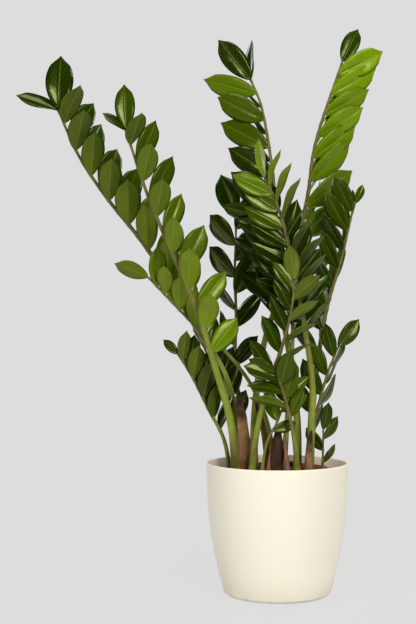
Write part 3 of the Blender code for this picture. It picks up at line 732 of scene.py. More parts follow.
# %% [markdown]
# ## The mix
#
# The potting mix is dark, moist peat with bark in it. Its surface rises to a low crown and is lumpy at every
# size: broad lumps can be moved vertices, but crumbs are separate things that cast their own shadows, so they
# are scattered over the surface by Geometry Nodes. One crumb is a small rough ball with few faces, because it
# is repeated hundreds of times, and each copy gets its own size, stretch and turn.

# %% Mix and bark finishes
def make_mix():
    material, place = finish("potting_mix", 0.95, specular=0.25)
    cloud = effect(TINT, place, 90.0, Spread=2.2)
    colour = coats(blend(cloud, (0.020, 0.011, 0.007), (0.085, 0.048, 0.028)),
                   (effect(SPECKS, place, 420.0, Amount=0.26), 1.0, (0.20, 0.11, 0.055)))
    return dress(material, colour, effect(GRAIN, place, 700.0, Coarse=1.6), 0.0012)


def make_bark():
    material, place = finish("bark", 0.85, specular=0.3)
    layers = add(place.tree, "ShaderNodeTexWave", {"Vector": place.vector("MULTIPLY", (1.0, 2.6, 5.0)),
                                                   "Scale": 90.0, "Distortion": 7.0, "Detail": 3.0})["Fac"]
    colour = coats(blend(layers, (0.13, 0.050, 0.020), (0.40, 0.185, 0.075)),
                   (effect(TINT, place, 120.0, Spread=1.8), 0.5, (0.22, 0.10, 0.045)))
    return dress(material, colour, layers + effect(GRAIN, place, 800.0, Coarse=1.0), 0.0006)


mix_finish, bark_finish = make_mix(), make_bark()


# %% The body of the mix
MIX_R = nursery_side(SOIL_TOP - INNER_BASE) - INNER_WALL


def soil_height(x, y):
    """Surface of the mix: a low crown with soft lumps."""
    edge = min(1.0, math.hypot(x, y) / MIX_R)
    lumps = 0.0012 * math.sin(x * 95 + 1.3) * math.cos(y * 83 - 0.4) * (1 - edge ** 4)
    return SOIL_TOP + SOIL_CROWN * (1 - edge * edge) + lumps


def mix_profile(rings=44):
    floor = INNER_BASE + NURSERY_FLOOR + GAP
    levels = (0.007, 0.05, 0.10, 0.15, SOIL_TOP - INNER_BASE)
    side = [(nursery_side(z) - INNER_WALL - GAP * 2, INNER_BASE + z) for z in levels]
    top = [(side[-1][0] * (1 - k / rings), SOIL_TOP) for k in range(1, rings + 1)]
    return [(0.0, floor), (nursery_side(0) - INNER_WALL - 0.003, floor)] + side + top


def make_mix_body():
    bm = turned(mix_profile(), 132)
    for vert in bm.verts:
        if vert.co.z > SOIL_TOP - 1e-5:
            x, y, _ = vert.co
            coarse = noise.noise(Vector((x * 70, y * 70, 2.0)))
            fine = noise.noise(Vector((x * 240, y * 240, 7.0)))
            vert.co.z = soil_height(x, y) + 0.0016 * coarse + 0.0010 * fine
    return to_mesh(bm, "potting_mix_body", sharp=60)


mix = new_piece("potting_mix_body", make_mix_body(), mix_finish)
top = round(max(v.co.z for v in mix.data.vertices), 4)
print("mix:", settle(mix, "potting_mix"), "faces, top", top)


# %% Crumbs, scattered over the surface
def field(tree, name):
    return add(tree, "GeometryNodeInput" + name)[0]


def make_scatter():
    tree, given = new_tree("scattered_crumbs", "GeometryNodeTree", Geometry="Geometry", Density=20000.0,
                           Size=0.002, Flatness=0.7, Reach=0.09, Seed=1, Finish="Material")
    out = field(tree, "Position").vector("MULTIPLY", (1.0, 1.0, 0.0)).vector("LENGTH")
    upward = field(tree, "Normal").axis("Z")
    near = add(tree, "FunctionNodeCompare", {"A": out, "B": given["Reach"]}, operation="LESS_THAN")[0]
    top = add(tree, "FunctionNodeCompare", {"A": upward, "B": 0.5}, operation="GREATER_THAN")[0]
    both = add(tree, "FunctionNodeBooleanMath", {0: near, 1: top}, operation="AND")[0]
    seed = given["Seed"]
    points = given["Geometry"].into("GeometryNodeDistributePointsOnFaces",
                                    {"Selection": both, "Density": given["Density"], "Seed": seed})
    ball = add(tree, "GeometryNodeMeshUVSphere", {"Segments": 7, "Rings": 5, "Radius": 1.0})["Mesh"]
    rough = add(tree, "ShaderNodeTexNoise", {"Scale": 1.3, "Detail": 1.0})["Color"]
    lump = rough.vector("SUBTRACT", (0.5, 0.5, 0.5)).vector("SCALE", 1.1)
    crumb = ball.into("GeometryNodeSetPosition", {"Offset": lump})
    turn = add(tree, "FunctionNodeRandomValue", {1: (6.3, 6.3, 6.3), "Seed": seed},
               data_type="FLOAT_VECTOR")[0]
    size = add(tree, "FunctionNodeRandomValue", {2: 0.35, 3: 1.0, "Seed": 11}, data_type="FLOAT")[1]
    width = size * given["Size"]
    flat = width * given["Flatness"]
    scale = add(tree, "ShaderNodeCombineXYZ", {"X": width * 1.4, "Y": width, "Z": flat})[0]
    copies = points.into("GeometryNodeInstanceOnPoints",
                         {"Instance": crumb, "Rotation": turn, "Scale": scale})
    smooth = copies.into("GeometryNodeRealizeInstances").into("GeometryNodeSetShadeSmooth")
    painted = smooth.into("GeometryNodeSetMaterial", {"Material": given["Finish"]})
    return deliver(tree, "Geometry", Geometry=painted)


def grow(piece, tree, **values):
    """Runs a node tree on a piece, with inputs set by name, and keeps what it makes."""
    modifier = piece.modifiers.new("grow", "NODES")
    modifier.node_group = tree
    for item in tree.interface.items_tree:
        key = item.name.lower().replace(" ", "_")
        if item.in_out == "INPUT" and key in values:
            modifier[item.identifier] = values[key]
    bake_modifiers(piece)
    return piece


SCATTER = make_scatter()
for name, slot, values in (
        ("mix_crumbs", "mix", {"finish": mix_finish, "density": 44000.0, "size": 0.0026, "flatness": 0.75,
                               "reach": MIX_R - 0.004, "seed": 3}),
        ("bark_flakes", "bark", {"finish": bark_finish, "density": 3600.0, "size": 0.0052, "flatness": 0.34,
                                 "reach": MIX_R - 0.008, "seed": 8})):
    piece = grow(new_piece(name, mix.data.copy()), SCATTER, **values)
    print(name + ":", settle(piece, "potting_mix"), "faces")

# %% [markdown]
# ## Finishes of the living parts
#
# A zz leaflet is waxy and dark above, with a pale sunken midrib and faint side veins, and duller and paler
# below. Young leaflets are a bright yellow-green. The pattern has to follow each leaflet, so it reads a UV
# map that runs along and across the blade, and one number on every leaflet, its tone, makes it old or young;
# near 0 the same number also paints the shade that falls on leaflets at the back and low in the cluster.
# The stems fade from light green at the foot to tan at the tip, with dark flecks and brown tatters low down,
# so their finish reads the distance from the foot.

# %% Leaflet veins, one effect for both sides
def make_veins():
    """Midrib, side veins and margin of a leaflet, from its own UV map."""
    tree, given = new_tree("leaflet_veins", "ShaderNodeTree", Blade="Vector", Pairs=9.0, Slant=0.32)
    blade = given["Blade"]
    across = abs(blade.axis("Y") * 2.0 - 1.0)
    run = blade.axis("X") - across ** 1.3 * given["Slant"] + noise_at(blade, 5.0) * 0.05
    saw = (run * given["Pairs"]).math("FRACT")
    vein = abs(saw - 0.5).step(0.36, 0.5) * across.step(1.0, 0.7)
    return deliver(tree, "Float", Midrib=across.step(0.015, 0.075, 1.0, 0.0), Vein=vein,
                   Margin=across.step(0.93, 1.0))


VEINS = make_veins()


def leaf_marks(tree):
    blade = add(tree, "ShaderNodeUVMap", uv_map="blade")["UV"]
    marks = add(tree, "ShaderNodeGroup", {"Blade": blade}, node_tree=VEINS)
    return marks["Midrib"], marks["Vein"], marks["Margin"], attribute(tree, "tone")


# %% Upper side, under side
def make_leaf_upper():
    material, place = finish("leaf_upper", 0.20, 0.30, specular_tint=(0.88, 1.0, 0.38, 1.0))
    midrib, vein, margin, tone = leaf_marks(place.tree)
    cloud = effect(TINT, place, 55.0, Spread=1.0)
    # tone sets age, and its low end also paints the shade on the back fronds and the low centre leaflets
    age_and_shade = tone ** 1.6
    shade = blend(age_and_shade, (0.012, 0.026, 0.0003), (0.120, 0.215, 0.0003))
    colour = coats(blend(age_and_shade, (0.006, 0.014, 0.0002), (0.205, 0.335, 0.0003)),
                   (cloud, 0.8, shade),
                   (vein, 0.22, (0.070, 0.120, 0.004)),
                   (margin, 0.35, (0.110, 0.160, 0.006)),
                   (midrib, 0.34, (0.190, 0.260, 0.018)))
    fine = effect(GRAIN, place, 260.0, Coarse=1.2)
    swell = cloud * 9.0 + fine * 0.25 + vein * -0.6 + midrib * -1.2
    return dress(material, colour, swell, 0.00004, tone * 0.14 + cloud.step(0.1, 0.9, 0.12, 0.22))


def make_leaf_under():
    material, place = finish("leaf_under", 0.5, 0.22, specular_tint=(0.85, 1.0, 0.30, 1.0))
    midrib, vein, margin, tone = leaf_marks(place.tree)
    cloud = effect(TINT, place, 48.0, Spread=2.6)
    # tone near 0 is also painted shade here, as on the upper side
    colour = coats(blend(tone, (0.032, 0.050, 0.005), (0.225, 0.325, 0.003)),
                   # the grey-green cloud layer is partly the underside's own paler tone and partly painted
                   # sheen
                   (cloud, 0.45, (0.095, 0.118, 0.026)),
                   (vein, 0.30, (0.055, 0.082, 0.008)),
                   (margin, 0.4, (0.150, 0.190, 0.030)),
                   (midrib, 0.42, (0.200, 0.245, 0.045)))
    fine = effect(GRAIN, place, 420.0, Coarse=0.8)
    swell = fine * 0.3 + vein * 0.5 + midrib * 1.2
    return dress(material, colour, swell, 0.00009, cloud.step(0.0, 1.0, 0.34, 0.52))


leaf_upper, leaf_under = make_leaf_upper(), make_leaf_under()
print("leaf finishes:", leaf_upper.name, leaf_under.name)


# %% Stem skin
def make_stem_skin():
    material, place = finish("stem_skin", 0.4, 0.3)
    grown, reach, brown = (attribute(place.tree, name) for name in ("grown", "reach", "brown"))
    cloud = effect(TINT, place, 42.0, Spread=1.3)
    foot = blend(cloud, (0.110, 0.155, 0.008), (0.285, 0.330, 0.030))
    top = blend(cloud, (0.075, 0.072, 0.010), (0.180, 0.142, 0.036))
    age = (cloud * 0.12 + grown).step(0.30, 0.72)
    bands = (cloud * 9.0 + reach * 620.0).math("SINE")
    flecks = effect(SPECKS, place.vector("MULTIPLY", (1.0, 1.0, 2.2)), 260.0, Amount=0.34)
    ringed = bands.step(0.35, 1.0) * flecks
    tatter = effect(TINT, place.vector("MULTIPLY", (1.0, 1.0, 0.35)), 95.0, Spread=4.5)
    low = reach.step(SEAT + 0.11, SEAT + 0.03)
    colour = coats(blend(age, foot, top),
                   (ringed, 0.75, (0.075, 0.115, 0.018)),
                   (low * tatter, brown, (0.085, 0.040, 0.020)))
    height = ringed * -0.7 + effect(GRAIN, place, 500.0, Coarse=1.0)
    return dress(material, colour, height, 0.00016, cloud.step(0.0, 1.0, 0.32, 0.50))


stem_skin = make_stem_skin()
print("stem finish:", stem_skin.name)

# %% [markdown]
# ## Stems
#
# A petiole is round and fleshy, thickest at the foot, and the rachis above it thickens a little wherever a
# leaflet leaves it. Curve to Mesh sweeps a circle along the path, and takes its radius from a number stored
# on each point, so the swellings are only a matter of that number. A little noise along the normals keeps the
# skin from looking machined. The stored distances travel to the mesh and guide the finish.

# %% The tree that sweeps a stem
def named(tree, name, kind="FLOAT"):
    return add(tree, "GeometryNodeInputNamedAttribute", {"Name": name}, data_type=kind)[0]


def make_stem_tree():
    tree, given = new_tree("swept_stem", "GeometryNodeTree", Geometry="Geometry", Sides=14, Unevenness=0.0003,
                           Grain_Size=60.0, Skin="Material")
    line = given["Geometry"].into("GeometryNodeMeshToCurve")
    ring = add(tree, "GeometryNodeCurvePrimitiveCircle", {"Resolution": given["Sides"], "Radius": 1.0})[0]
    swept = line.into("GeometryNodeCurveToMesh",
                      {"Profile Curve": ring, "Scale": named(tree, "girth"), "Fill Caps": True})
    joined = swept.into("GeometryNodeMergeByDistance", {"Distance": 0.000001})
    bumps = add(tree, "ShaderNodeTexNoise", {"Scale": given["Grain Size"], "Detail": 2.0})["Fac"]
    offset = field(tree, "Normal").vector("SCALE", (bumps - 0.5) * given["Unevenness"])
    moved = joined.into("GeometryNodeSetPosition", {"Offset": offset})
    smooth = moved.into("GeometryNodeSetShadeSmooth")
    painted = smooth.into("GeometryNodeSetMaterial", {"Material": given["Skin"]})
    return deliver(tree, "Geometry", Geometry=painted)


STEM_TREE = make_stem_tree()


# %% Sweeping the sixteen stems
def store(mesh, **values):
    """Stores numbers or vectors on every point of a mesh, each list under its own name."""
    for name, items in values.items():
        plain = isinstance(items[0], float)
        layer = mesh.attributes.new(name, "FLOAT" if plain else "FLOAT_VECTOR", "POINT")
        if plain:
            layer.data.foreach_set("value", items)
        else:
            layer.data.foreach_set("vector", [number for item in items for number in item])


def girth_at(stem, spray, t):
    """Radius of a stem, with a soft swelling below every leaflet and at the foot."""
    radius = stem.radius(t)
    for leaf in spray:
        apart = (t - leaf["t"]) * stem.length / 0.0045
        radius += 0.0005 * math.exp(-apart * apart)
    foot = max(0.0, 1 - t * stem.length / 0.06)
    return radius * (1 + 0.10 * foot * foot)


def make_stem(name, stem, spray, steps=170):
    shares = [k / steps for k in range(steps + 1)]
    mesh = bpy.data.meshes.new(name)
    mesh.from_pydata([stem.at(t) for t in shares], [(k, k + 1) for k in range(steps)], [])
    store(mesh, girth=[girth_at(stem, spray, t) for t in shares], grown=shares,
          reach=[t * stem.length for t in shares],
          brown=[random.Random(name + "brown").uniform(0.6, 1.0)] * len(shares))
    return grow(new_piece(name, mesh), STEM_TREE, skin=stem_skin)


stem_faces = 0
for name, stem in stems.items():
    stem_faces += settle(make_stem(name.replace("frond", "stem"), stem, sprays[name]), name)
print("stems:", len(stems), "with", stem_faces, "faces")

# %% [markdown]
# ## Leaflets
#
# A leaflet is an oval blade with a short point, folded a little along a sunken midrib, thickest at its stalk
# and thin at the margin. It could be cut from a plane, but the undersides show as much as the tops, so it
# is a closed solid: two grids share one outline, one pushed up and one down, and they meet there. The tree
# makes one blade of length one, puts a copy on every bud, turned to the way that the leaflet grows and the
# side that it shows, and then bends, twists and waves each copy by numbers stored on its bud.

# %% The tree for a leaflet blade
def blade_side(tree, given, lower):
    """One side of the blade, as a grid whose x runs along the midrib and whose y runs across."""
    marked = add(tree, "GeometryNodeMeshGrid", {"Size X": 1.0, "Size Y": 2.0, "Vertices X": given["Along"],
                                                "Vertices Y": given["Across"]})["Mesh"]
    x, y = (field(tree, "Position").axis(letter) for letter in "XY")
    even = x + 0.5
    eased = (even * math.pi).math("COSINE") * -0.5 + 0.5
    share = (eased - even) * 0.6 + even
    spread = abs(y) ** 1.5
    side = spread * y.math("SIGN")
    # the first two powers multiply to at most 0.331, so the blade is exactly as wide as its input says
    oval = share ** 0.84 * (1.0 - share) ** 0.76 * (given["Half Width"] / 0.331)
    stalk = (1.0 - share) ** 6.0 * 0.018 * share.step(0.0, 0.02)
    half = oval * share.step(1.0, 0.80, 0.45, 1.0) + stalk
    across = side * half
    # the midrib is a groove above and a keel below, and the body thins out towards the margin
    closing = (1.0 - spread ** 2.0).math("SQRT")
    ends = share.step(0.0, 0.03) * share.step(1.0, 0.93)
    body = (share.step(0.16, 0.0) * 0.016 + given["Thickness"]) * closing * ends
    groove = spread.step(0.09, 0.0) * given["Groove"] * share.step(0.04, 0.16) * share.step(1.0, 0.8)
    curl = spread ** 3.0 * half * -0.13
    height = abs(across) * given["Fold"] + curl - groove + body * (-1.0 if lower else 1.0)
    point = add(tree, "ShaderNodeCombineXYZ", {"X": share, "Y": across, "Z": height})[0]
    uv = add(tree, "ShaderNodeCombineXYZ", {"X": share, "Y": side * 0.5 + 0.5})[0]
    for title, value, kind, domain in (("blade", uv, "FLOAT2", "CORNER"), ("share", share, "FLOAT", "POINT"),
                                       ("side", side, "FLOAT", "POINT")):
        marked = marked.into("GeometryNodeStoreNamedAttribute", {"Name": title, "Value": value},
                             data_type=kind, domain=domain)
    shaped = marked.into("GeometryNodeSetPosition", {"Position": point})
    material = given["Under Side" if lower else "Upper Side"]
    painted = shaped.into("GeometryNodeSetMaterial", {"Material": material})
    return painted.into("GeometryNodeFlipFaces") if lower else painted


def bend_blades(tree, geometry):
    """Twists, bends and waves every copy about its own root."""
    root, way, normal = (named(tree, title, "FLOAT_VECTOR") for title in ("root", "way", "normal"))
    share, length, bend = (named(tree, title) for title in ("share", "length", "bend"))
    turned_place = add(tree, "ShaderNodeVectorRotate",
                       {"Vector": field(tree, "Position"), "Center": root, "Axis": way,
                        "Angle": named(tree, "twist") * share}, rotation_type="AXIS_ANGLE")[0]
    twisted = geometry.into("GeometryNodeSetPosition", {"Position": turned_place})
    swing = bend * share
    forward = swing.math("SINE") / bend - share
    ripple = (share * 8.5 + named(tree, "phase")).math("SINE")
    wave = ripple * abs(named(tree, "side")) ** 2.0 * share.step(1.0, 0.7)
    lift = wave * 0.014 + (1.0 - swing.math("COSINE")) / bend
    offset = way.vector("SCALE", forward * length).vector("ADD", normal.vector("SCALE", lift * length))
    return twisted.into("GeometryNodeSetPosition", {"Offset": offset})


def make_leaf_tree():
    tree, given = new_tree("leaflet_ranks", "GeometryNodeTree", Geometry="Geometry", Along=17, Across=11,
                           Half_Width=0.236, Thickness=0.0042, Groove=0.006, Fold=0.26,
                           Upper_Side="Material", Under_Side="Material")
    both = add(tree, "GeometryNodeJoinGeometry")
    for lower in (True, False):
        fill(tree, both.node.inputs[0], blade_side(tree, given, lower))
    blade = both[0].into("GeometryNodeMergeByDistance", {"Distance": 0.0001})
    turn = add(tree, "FunctionNodeAxesToRotation",
               {0: named(tree, "way", "FLOAT_VECTOR"), 1: named(tree, "normal", "FLOAT_VECTOR")},
               primary_axis="X", secondary_axis="Z")[0]
    length = named(tree, "length")
    broad = length * named(tree, "broad")
    scale = add(tree, "ShaderNodeCombineXYZ", {"X": length, "Y": broad, "Z": length})[0]
    copies = given["Geometry"].into("GeometryNodeInstanceOnPoints",
                                    {"Instance": blade, "Rotation": turn, "Scale": scale})
    bent = bend_blades(tree, copies.into("GeometryNodeRealizeInstances"))
    return deliver(tree, "Geometry", Geometry=bent.into("GeometryNodeSetShadeSmooth"))


LEAF_TREE = make_leaf_tree()
print("leaflet tree:", len(LEAF_TREE.nodes), "nodes")

# %% [markdown]
# ## Old and young growth, and painted shade
#
# The fronds aren't one green. The outer ones are old and nearly bottle green, the topmost leaflets are dark
# again, and the two that reach highest on the right are painted bright yellow-green. The tones also carry
# painted shade: the fronds at the back and the lower leaflets of the two centre fronds are set nearly black
# where shade falls on them. A pair of tones for each frond, from its lowest leaflet to its highest, and one
# for the leaflets at its end, says all of this.

# %% Tones, and the leaflets on every frond
# 0 is nearly black, 1 is bright yellow-green: (lowest, highest, at the end). Low values are old growth on the
# outer fronds, and painted shade on the back fronds and the lower leaflets of the centre fronds.
TONES = {
    "frond_left_outer": (0.52, 0.06, 0.05), "frond_left_inner": (0.62, 0.10, 0.20),
    "frond_left_low": (0.50, 0.60, 0.30), "frond_left_short": (0.00, 0.20, 0.20),
    "frond_left_back": (0.00, 0.05, 0.10), "frond_back_dark": (0.03, 0.03, 0.05),
    "frond_centre_top": (-0.60, 0.95, 0.03), "frond_right_top": (0.55, 1.0, 0.10),
    "frond_centre_mid": (-0.80, 0.85, 0.60), "frond_centre_left": (0.05, 0.10, 0.08),
    "frond_right_mid": (0.20, 0.22, 0.30), "frond_centre_front": (0.20, 0.20, 0.20),
    "frond_front_small": (0.30, 0.25, 0.25), "frond_right_low": (0.22, 0.20, 0.20),
    "frond_right_tiny": (0.18, 0.18, 0.18), "frond_front_thin": (0.34, 0.34, 0.30),
}


def make_spray(name, spray):
    """The buds of one frond, and a leaflet grown on each."""
    chance = random.Random(name + "finish")
    low, high, end = TONES[name]
    title = name.replace("frond", "leaflets")
    mesh = bpy.data.meshes.new(title)
    mesh.from_pydata([leaf["root"] for leaf in spray], [], [])
    store(mesh, **{key: [leaf[key] for leaf in spray] for key in ("root", "way", "normal", "length", "bend")})
    tones = [end if leaf["t"] >= 1 else low + (high - low) * k / len(spray) for k, leaf in enumerate(spray)]
    store(mesh, tone=[min(1.0, max(0.0, tone + chance.uniform(-0.11, 0.11))) for tone in tones],
          broad=[chance.uniform(0.90, 1.08) for leaf in spray],
          twist=[math.radians(chance.uniform(-15, 15)) for leaf in spray],
          phase=[chance.uniform(0, math.tau) for leaf in spray])
    return grow(new_piece(title, mesh), LEAF_TREE, upper_side=leaf_upper, under_side=leaf_under)


leaf_faces = 0
for name, spray in sprays.items():
    leaf_faces += settle(make_spray(name, spray), name)
print("leaflet faces:", leaf_faces)

# %% [markdown]
# ## Dry sheaths
#
# Each petiole grew out of a papery sheath that has since dried to a brown strip. It is curved round the stem
# that it once held, ribbed along its length and torn at its tip. A strip of columns and rows can be rolled,
# ribbed and torn by moving its points, and its inner face follows half a millimetre behind.

# %% Papery sheaths
def streaky(place, stretch, scale, **more):
    """Noise drawn out along Z, as fibres are."""
    return noise_at(place.vector("MULTIPLY", (1.0, 1.0, stretch)), scale, **more)


def make_papery():
    material, place = finish("papery_sheath", 0.72, 0.3)
    streaks = streaky(place, 0.12, 420.0, Detail=5.0)
    cloud = effect(TINT, place, 60.0, Spread=2.6)
    worn = cloud * 0.30 + attribute(place.tree, "grown")
    colour = coats(blend(streaks, (0.035, 0.013, 0.006), (0.56, 0.30, 0.11)),
                   (cloud, 0.75, (0.085, 0.035, 0.018)),
                   (worn.step(0.62, 1.0), 1.0, (0.030, 0.012, 0.009)))
    return dress(material, colour, streaks + cloud, 0.0005)


papery = make_papery()


def small_place(sizes, share):
    """Centre of a standing piece at a share of its height; below 0 it is in the mix, in metres."""
    x, y, lean_x, lean_y, height = sizes[:5]
    drift = max(0.0, share) ** 1.5
    rise = share * height if share > 0 else share
    return Vector((x + lean_x * drift, y + lean_y * drift, soil_height(x, y) + rise))


def aside(degrees, across, deep):
    """A step sideways and backwards, turned about Z."""
    turn = math.radians(degrees)
    return Vector((across * math.cos(turn) - deep * math.sin(turn),
                   across * math.sin(turn) + deep * math.cos(turn), 0.0))


SHEATH_ROLL = 1.15      # half of the angle that a sheath wraps, in radians


def make_sheath(name, sizes, columns=26, rows=40):
    half_width, half_depth, turn = sizes[5:]
    chance = random.Random(name)
    tear = [chance.uniform(0.0, 0.10) + 0.10 * abs(2 * c / columns - 1) ** 2 for c in range(columns + 1)]
    bm = bmesh.new()
    grown = bm.verts.layers.float.new("grown")

    def vertex(row, column, depth):
        across = 2 * column / columns - 1
        share = -0.014 + (1.014 - tear[column]) * row / rows
        half = 3.0 if across > 0 else -3.0
        uneven = 1.0 + 0.16 * noise.noise(Vector((sizes[0] * 90, half, share * 4.5)))
        width = half_width * uneven * (1.0 - 0.72 * max(0.0, share) ** 2.0)
        angle = across * SHEATH_ROLL
        curve = half_depth * 2.6 * (math.cos(angle) - 0.45) + depth
        curve += 0.00022 * math.cos(across * 30) + 0.0013 * math.sin(share * 9 + across * 2.0)
        side = width * math.sin(angle) / math.sin(SHEATH_ROLL)
        vert = bm.verts.new(small_place(sizes, share) + aside(turn, side, -curve))
        vert[grown] = max(0.0, share)
        return vert

    outer, inner = ([[vertex(row, column, depth) for column in range(columns + 1)] for row in range(rows + 1)]
                    for depth in (0.0, -0.0006))
    for row in range(rows):
        for column in range(columns):
            corners = [(row, column), (row, column + 1), (row + 1, column + 1), (row + 1, column)]
            bm.faces.new([outer[r][c] for r, c in corners])
            bm.faces.new([inner[r][c] for r, c in corners[::-1]])
    border = [(0, c) for c in range(columns)] + [(r, columns) for r in range(rows)]
    border += [(rows, c) for c in range(columns, 0, -1)] + [(r, 0) for r in range(rows, 0, -1)]
    for (r0, c0), (r1, c1) in zip(border, border[1:] + border[:1]):
        bm.faces.new((outer[r0][c0], inner[r0][c0], inner[r1][c1], outer[r1][c1]))
    return to_mesh(bm, name, sharp=70)


for name, sizes in SHEATHS.items():
    settle(new_piece(name + "_paper", make_sheath(name, sizes), papery), name)
print("sheaths:", list(SHEATHS))

# %% [markdown]
# ## Shoots and rhizomes
#
# A shoot is a frond that is still rolled up: a pointed cone with a scale wrapped round it. A rhizome is a
# swollen, knobbly stump with a corky skin. Both are round forms on a leaning axis whose radius changes with
# height and angle, so one function makes both from a rule for that radius.

# %% Shoot and rhizome finishes
def make_shoot_skin():
    material, place = finish("shoot_skin", 0.55, 0.35)
    streaks = streaky(place, 0.18, 460.0, Detail=4.0)
    colour = coats(blend(streaks, (0.10, 0.034, 0.020), (0.38, 0.18, 0.105)),
                   (effect(TINT, place, 80.0, Spread=2.0), 0.6, (0.20, 0.085, 0.045)))
    return dress(material, colour, streaks, 0.0004)


def make_rhizome_skin():
    material, place = finish("rhizome_skin", 0.82, 0.25)
    cork = streaky(place, 0.45, 210.0, Detail=5.0, Roughness=0.62)
    cloud = effect(TINT, place, 75.0, Spread=3.0)
    colour = coats(blend(cork, (0.010, 0.004, 0.003), (0.105, 0.046, 0.022)),
                   (cloud, 0.5, (0.030, 0.013, 0.008)))
    return dress(material, colour, cork + cloud, 0.0009)


# %% Leaning round forms
def leaning_form(name, sizes, radius_at, rows=46, sides=36):
    """A closed form round a leaning axis; radius_at(share, angle) is a share of the half-width."""
    half_width, half_depth, turn = sizes[5:]
    bm = bmesh.new()
    rings = []
    for row in range(rows + 1):
        share = -0.02 + 1.02 * row / rows
        ring = []
        for k in range(sides):
            angle = math.tau * k / sides
            size = radius_at(max(0.0, share), angle)
            step = aside(turn, half_width * size * math.cos(angle), half_depth * size * math.sin(angle))
            ring.append(bm.verts.new(small_place(sizes, share) + step))
        rings.append(ring)
    tip = bm.verts.new(small_place(sizes, 1.0) + Vector((0, 0, 0.0002)))
    for k in range(sides):
        j = (k + 1) % sides
        for low, high in zip(rings, rings[1:]):
            bm.faces.new((low[k], low[j], high[j], high[k]))
        bm.faces.new((rings[-1][k], rings[-1][j], tip))
    bm.faces.new(rings[0][::-1])
    return to_mesh(bm, name, sharp=70)


def shoot_radius(share, angle):
    wrap = 0.5 + 0.5 * math.cos(angle - 5 * share)
    return (1 - share ** 1.7) * (0.90 + 0.10 * wrap) * (1 - 0.10 * math.sin(share * 3.0)) + 0.02


def rhizome_radius(share, angle):
    round_place = Vector((math.cos(angle), math.sin(angle), share * 2.4))
    knobs = 0.34 * noise.noise(round_place * 1.3) + 0.10 * noise.noise(round_place * 4.0)
    crown = max(0.0, 1 - share ** 1.8) ** 0.55
    return max(0.05, (0.98 - 0.22 * share + knobs) * crown)


for table, rule, skin, slot in ((SHOOTS, shoot_radius, make_shoot_skin(), "shoot_skin"),
                                (RHIZOMES, rhizome_radius, make_rhizome_skin(), "rhizome_skin")):
    for name, sizes in table.items():
        settle(new_piece(name + "_form", leaning_form(name, sizes, rule), skin), name)
        print(name, "is", round(sizes[4] * 1000), "mm tall")

# %% [markdown]
# ## Bark flakes on the surface
#
# Four larger flakes lie half sunk at the front and back. A flake breaks along its layers, so it is flat with
# steep, ragged sides. A low block with its sides pushed in and out, subdivided and roughened, reads as bark
# without needing a scan.

# %% Four larger flakes
def make_flake(name, sizes):
    x, y, length, width, thick, turn = sizes
    chance = random.Random(name + "shape")
    bm = bmesh.new()
    bmesh.ops.create_cube(bm, size=1.0)
    bmesh.ops.subdivide_edges(bm, edges=bm.edges, cuts=9, use_grid_fill=True)
    start = Vector([chance.uniform(0, 9) for axis in range(3)])
    middle = Vector((x, y, soil_height(x, y) + thick * 0.15))
    turned_by = Matrix.Rotation(math.radians(turn), 3, "Z")
    for vert in bm.verts:
        ragged = noise.noise(start + vert.co * 2.2) * 0.22 + noise.noise(start + vert.co * 6.0) * 0.08
        wide = (1 - 0.16 * abs(vert.co.x) * abs(vert.co.y) * 4) * (1 + ragged)
        flat = Vector((vert.co.x * wide, vert.co.y * wide, vert.co.z))
        layer = 0.10 * noise.noise(start + Vector((flat.x * 3, flat.y * 9, 0)))
        vert.co = middle + turned_by @ Vector((flat.x * length, flat.y * width, (flat.z + layer) * thick))
    return to_mesh(bm, name, sharp=50)


for name, sizes in CHIPS.items():
    settle(new_piece(name + "_flake", make_flake(name, sizes), bark_finish), name)
print("flakes:", len(CHIPS))

# %% [markdown]
# ## Floor, light and camera
#
# The plant stands in an even, pale grey studio. A floor that only takes light would darken away from the
# lamps, so the floor shows one pale grey to the camera with a faint share of real light for the contact
# shadow, and the world behind it has the same grey. One large soft light from the front right models the pot,
# a weaker one fills the left, and strips above and behind draw long highlights on the waxy leaflets.

# %% The floor and the world
PALE = (0.723, 0.723, 0.723)
FLOOR_R = 9.0


def make_floor():
    material = bpy.data.materials.new("pale_floor")
    material.use_nodes = True
    tree = material.node_tree
    tree.nodes.remove(tree.nodes["Principled BSDF"])
    away = add(tree, "ShaderNodeTexCoord")["Object"].vector("LENGTH")
    plain = add(tree, "ShaderNodeEmission", {"Color": (*PALE, 1.0)})
    fill(tree, plain.node.inputs["Strength"], away.step(0.1, 1.6, 0.94, 1.0))
    faint = blend(away.step(0.1, 1.6), (0.045, 0.045, 0.045), (0.0, 0.0, 0.0))
    lit = add(tree, "ShaderNodeBsdfDiffuse", {"Color": faint})
    seen = add(tree, "ShaderNodeAddShader", {0: plain[0], 1: lit[0]})
    bounce = add(tree, "ShaderNodeBsdfDiffuse", {"Color": (0.75, 0.75, 0.75, 1.0)})
    camera_ray = add(tree, "ShaderNodeLightPath")["Is Camera Ray"]
    choice = add(tree, "ShaderNodeMixShader", {0: camera_ray, 1: bounce[0], 2: seen[0]})
    fill(tree, tree.nodes["Material Output"].inputs["Surface"], choice[0])
    return material


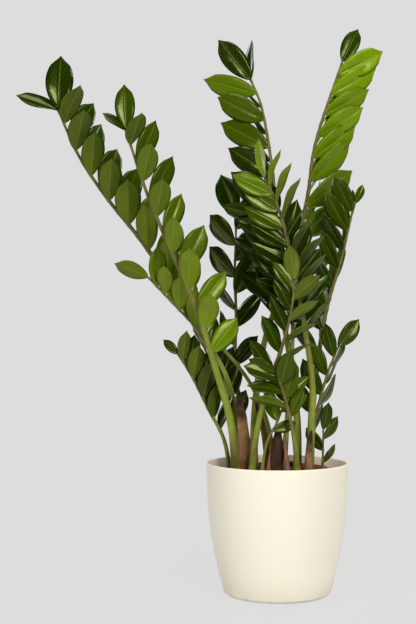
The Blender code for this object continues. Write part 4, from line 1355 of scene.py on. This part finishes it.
floor_bm = bmesh.new()
bmesh.ops.create_circle(floor_bm, cap_ends=True, segments=96, radius=FLOOR_R)
floor = new_piece("studio_floor", to_mesh(floor_bm, "studio_floor"), make_floor())

world = bpy.data.worlds.new("studio")
bpy.context.scene.world = world
world.use_nodes = True
background = world.node_tree.nodes["Background"]
path = add(world.node_tree, "ShaderNodeLightPath")
dim = blend(path["Is Glossy Ray"], (0.062, 0.062, 0.048), (0.02, 0.02, 0.015))
fill(world.node_tree, background.inputs["Color"], blend(path["Is Camera Ray"], dim, PALE))
background.inputs["Strength"].default_value = 1.0
print("floor radius:", FLOOR_R)

# %% Lights
# where it stands, how large it is, its power and its tint
LAMPS = {
    "key_front_right": ((0.7, -2.5, 1.35), (0.9, 0.9), 57.0, (1.0, 0.98, 0.94)),
    "fill_left": ((-2.2, -1.2, 1.0), (1.2, 1.8), 19.0, (1.0, 0.98, 0.96)),
    "top_strip": ((0.1, -0.3, 2.6), (1.6, 0.7), 26.0, (1.0, 1.0, 1.0)),
    "back_left": ((-1.5, 1.5, 1.6), (0.7, 1.6), 22.0, (1.0, 1.0, 1.0)),
    "back_right": ((1.6, 1.3, 1.5), (0.6, 1.6), 22.0, (1.0, 1.0, 1.0)),
}
AIM = Vector((-0.10, 0.0, 0.50))

for name, (place, size, power, tint) in LAMPS.items():
    light = bpy.data.lights.new(name, "AREA")
    light.shape = "RECTANGLE"
    light.size, light.size_y = size
    light.energy = power
    light.color = tint
    lamp = bpy.data.objects.new(name, light)
    lamp.location = place
    lamp.rotation_euler = (AIM - Vector(place)).to_track_quat("-Z", "Y").to_euler()
    bpy.context.scene.collection.objects.link(lamp)
print("lights:", len(LAMPS))

# %% Camera
lens = bpy.data.cameras.new("camera")
lens.lens = 75.0
lens.sensor_width = 36.0
camera = bpy.data.objects.new("camera", lens)
camera.location = (-0.1227, -2.312, 0.499)
camera.rotation_euler = (math.radians(90), 0.0, 0.0)
bpy.context.scene.collection.objects.link(camera)
bpy.context.scene.camera = camera
bpy.context.scene.view_settings.view_transform = "Standard"
print("camera at", tuple(round(c, 3) for c in camera.location))
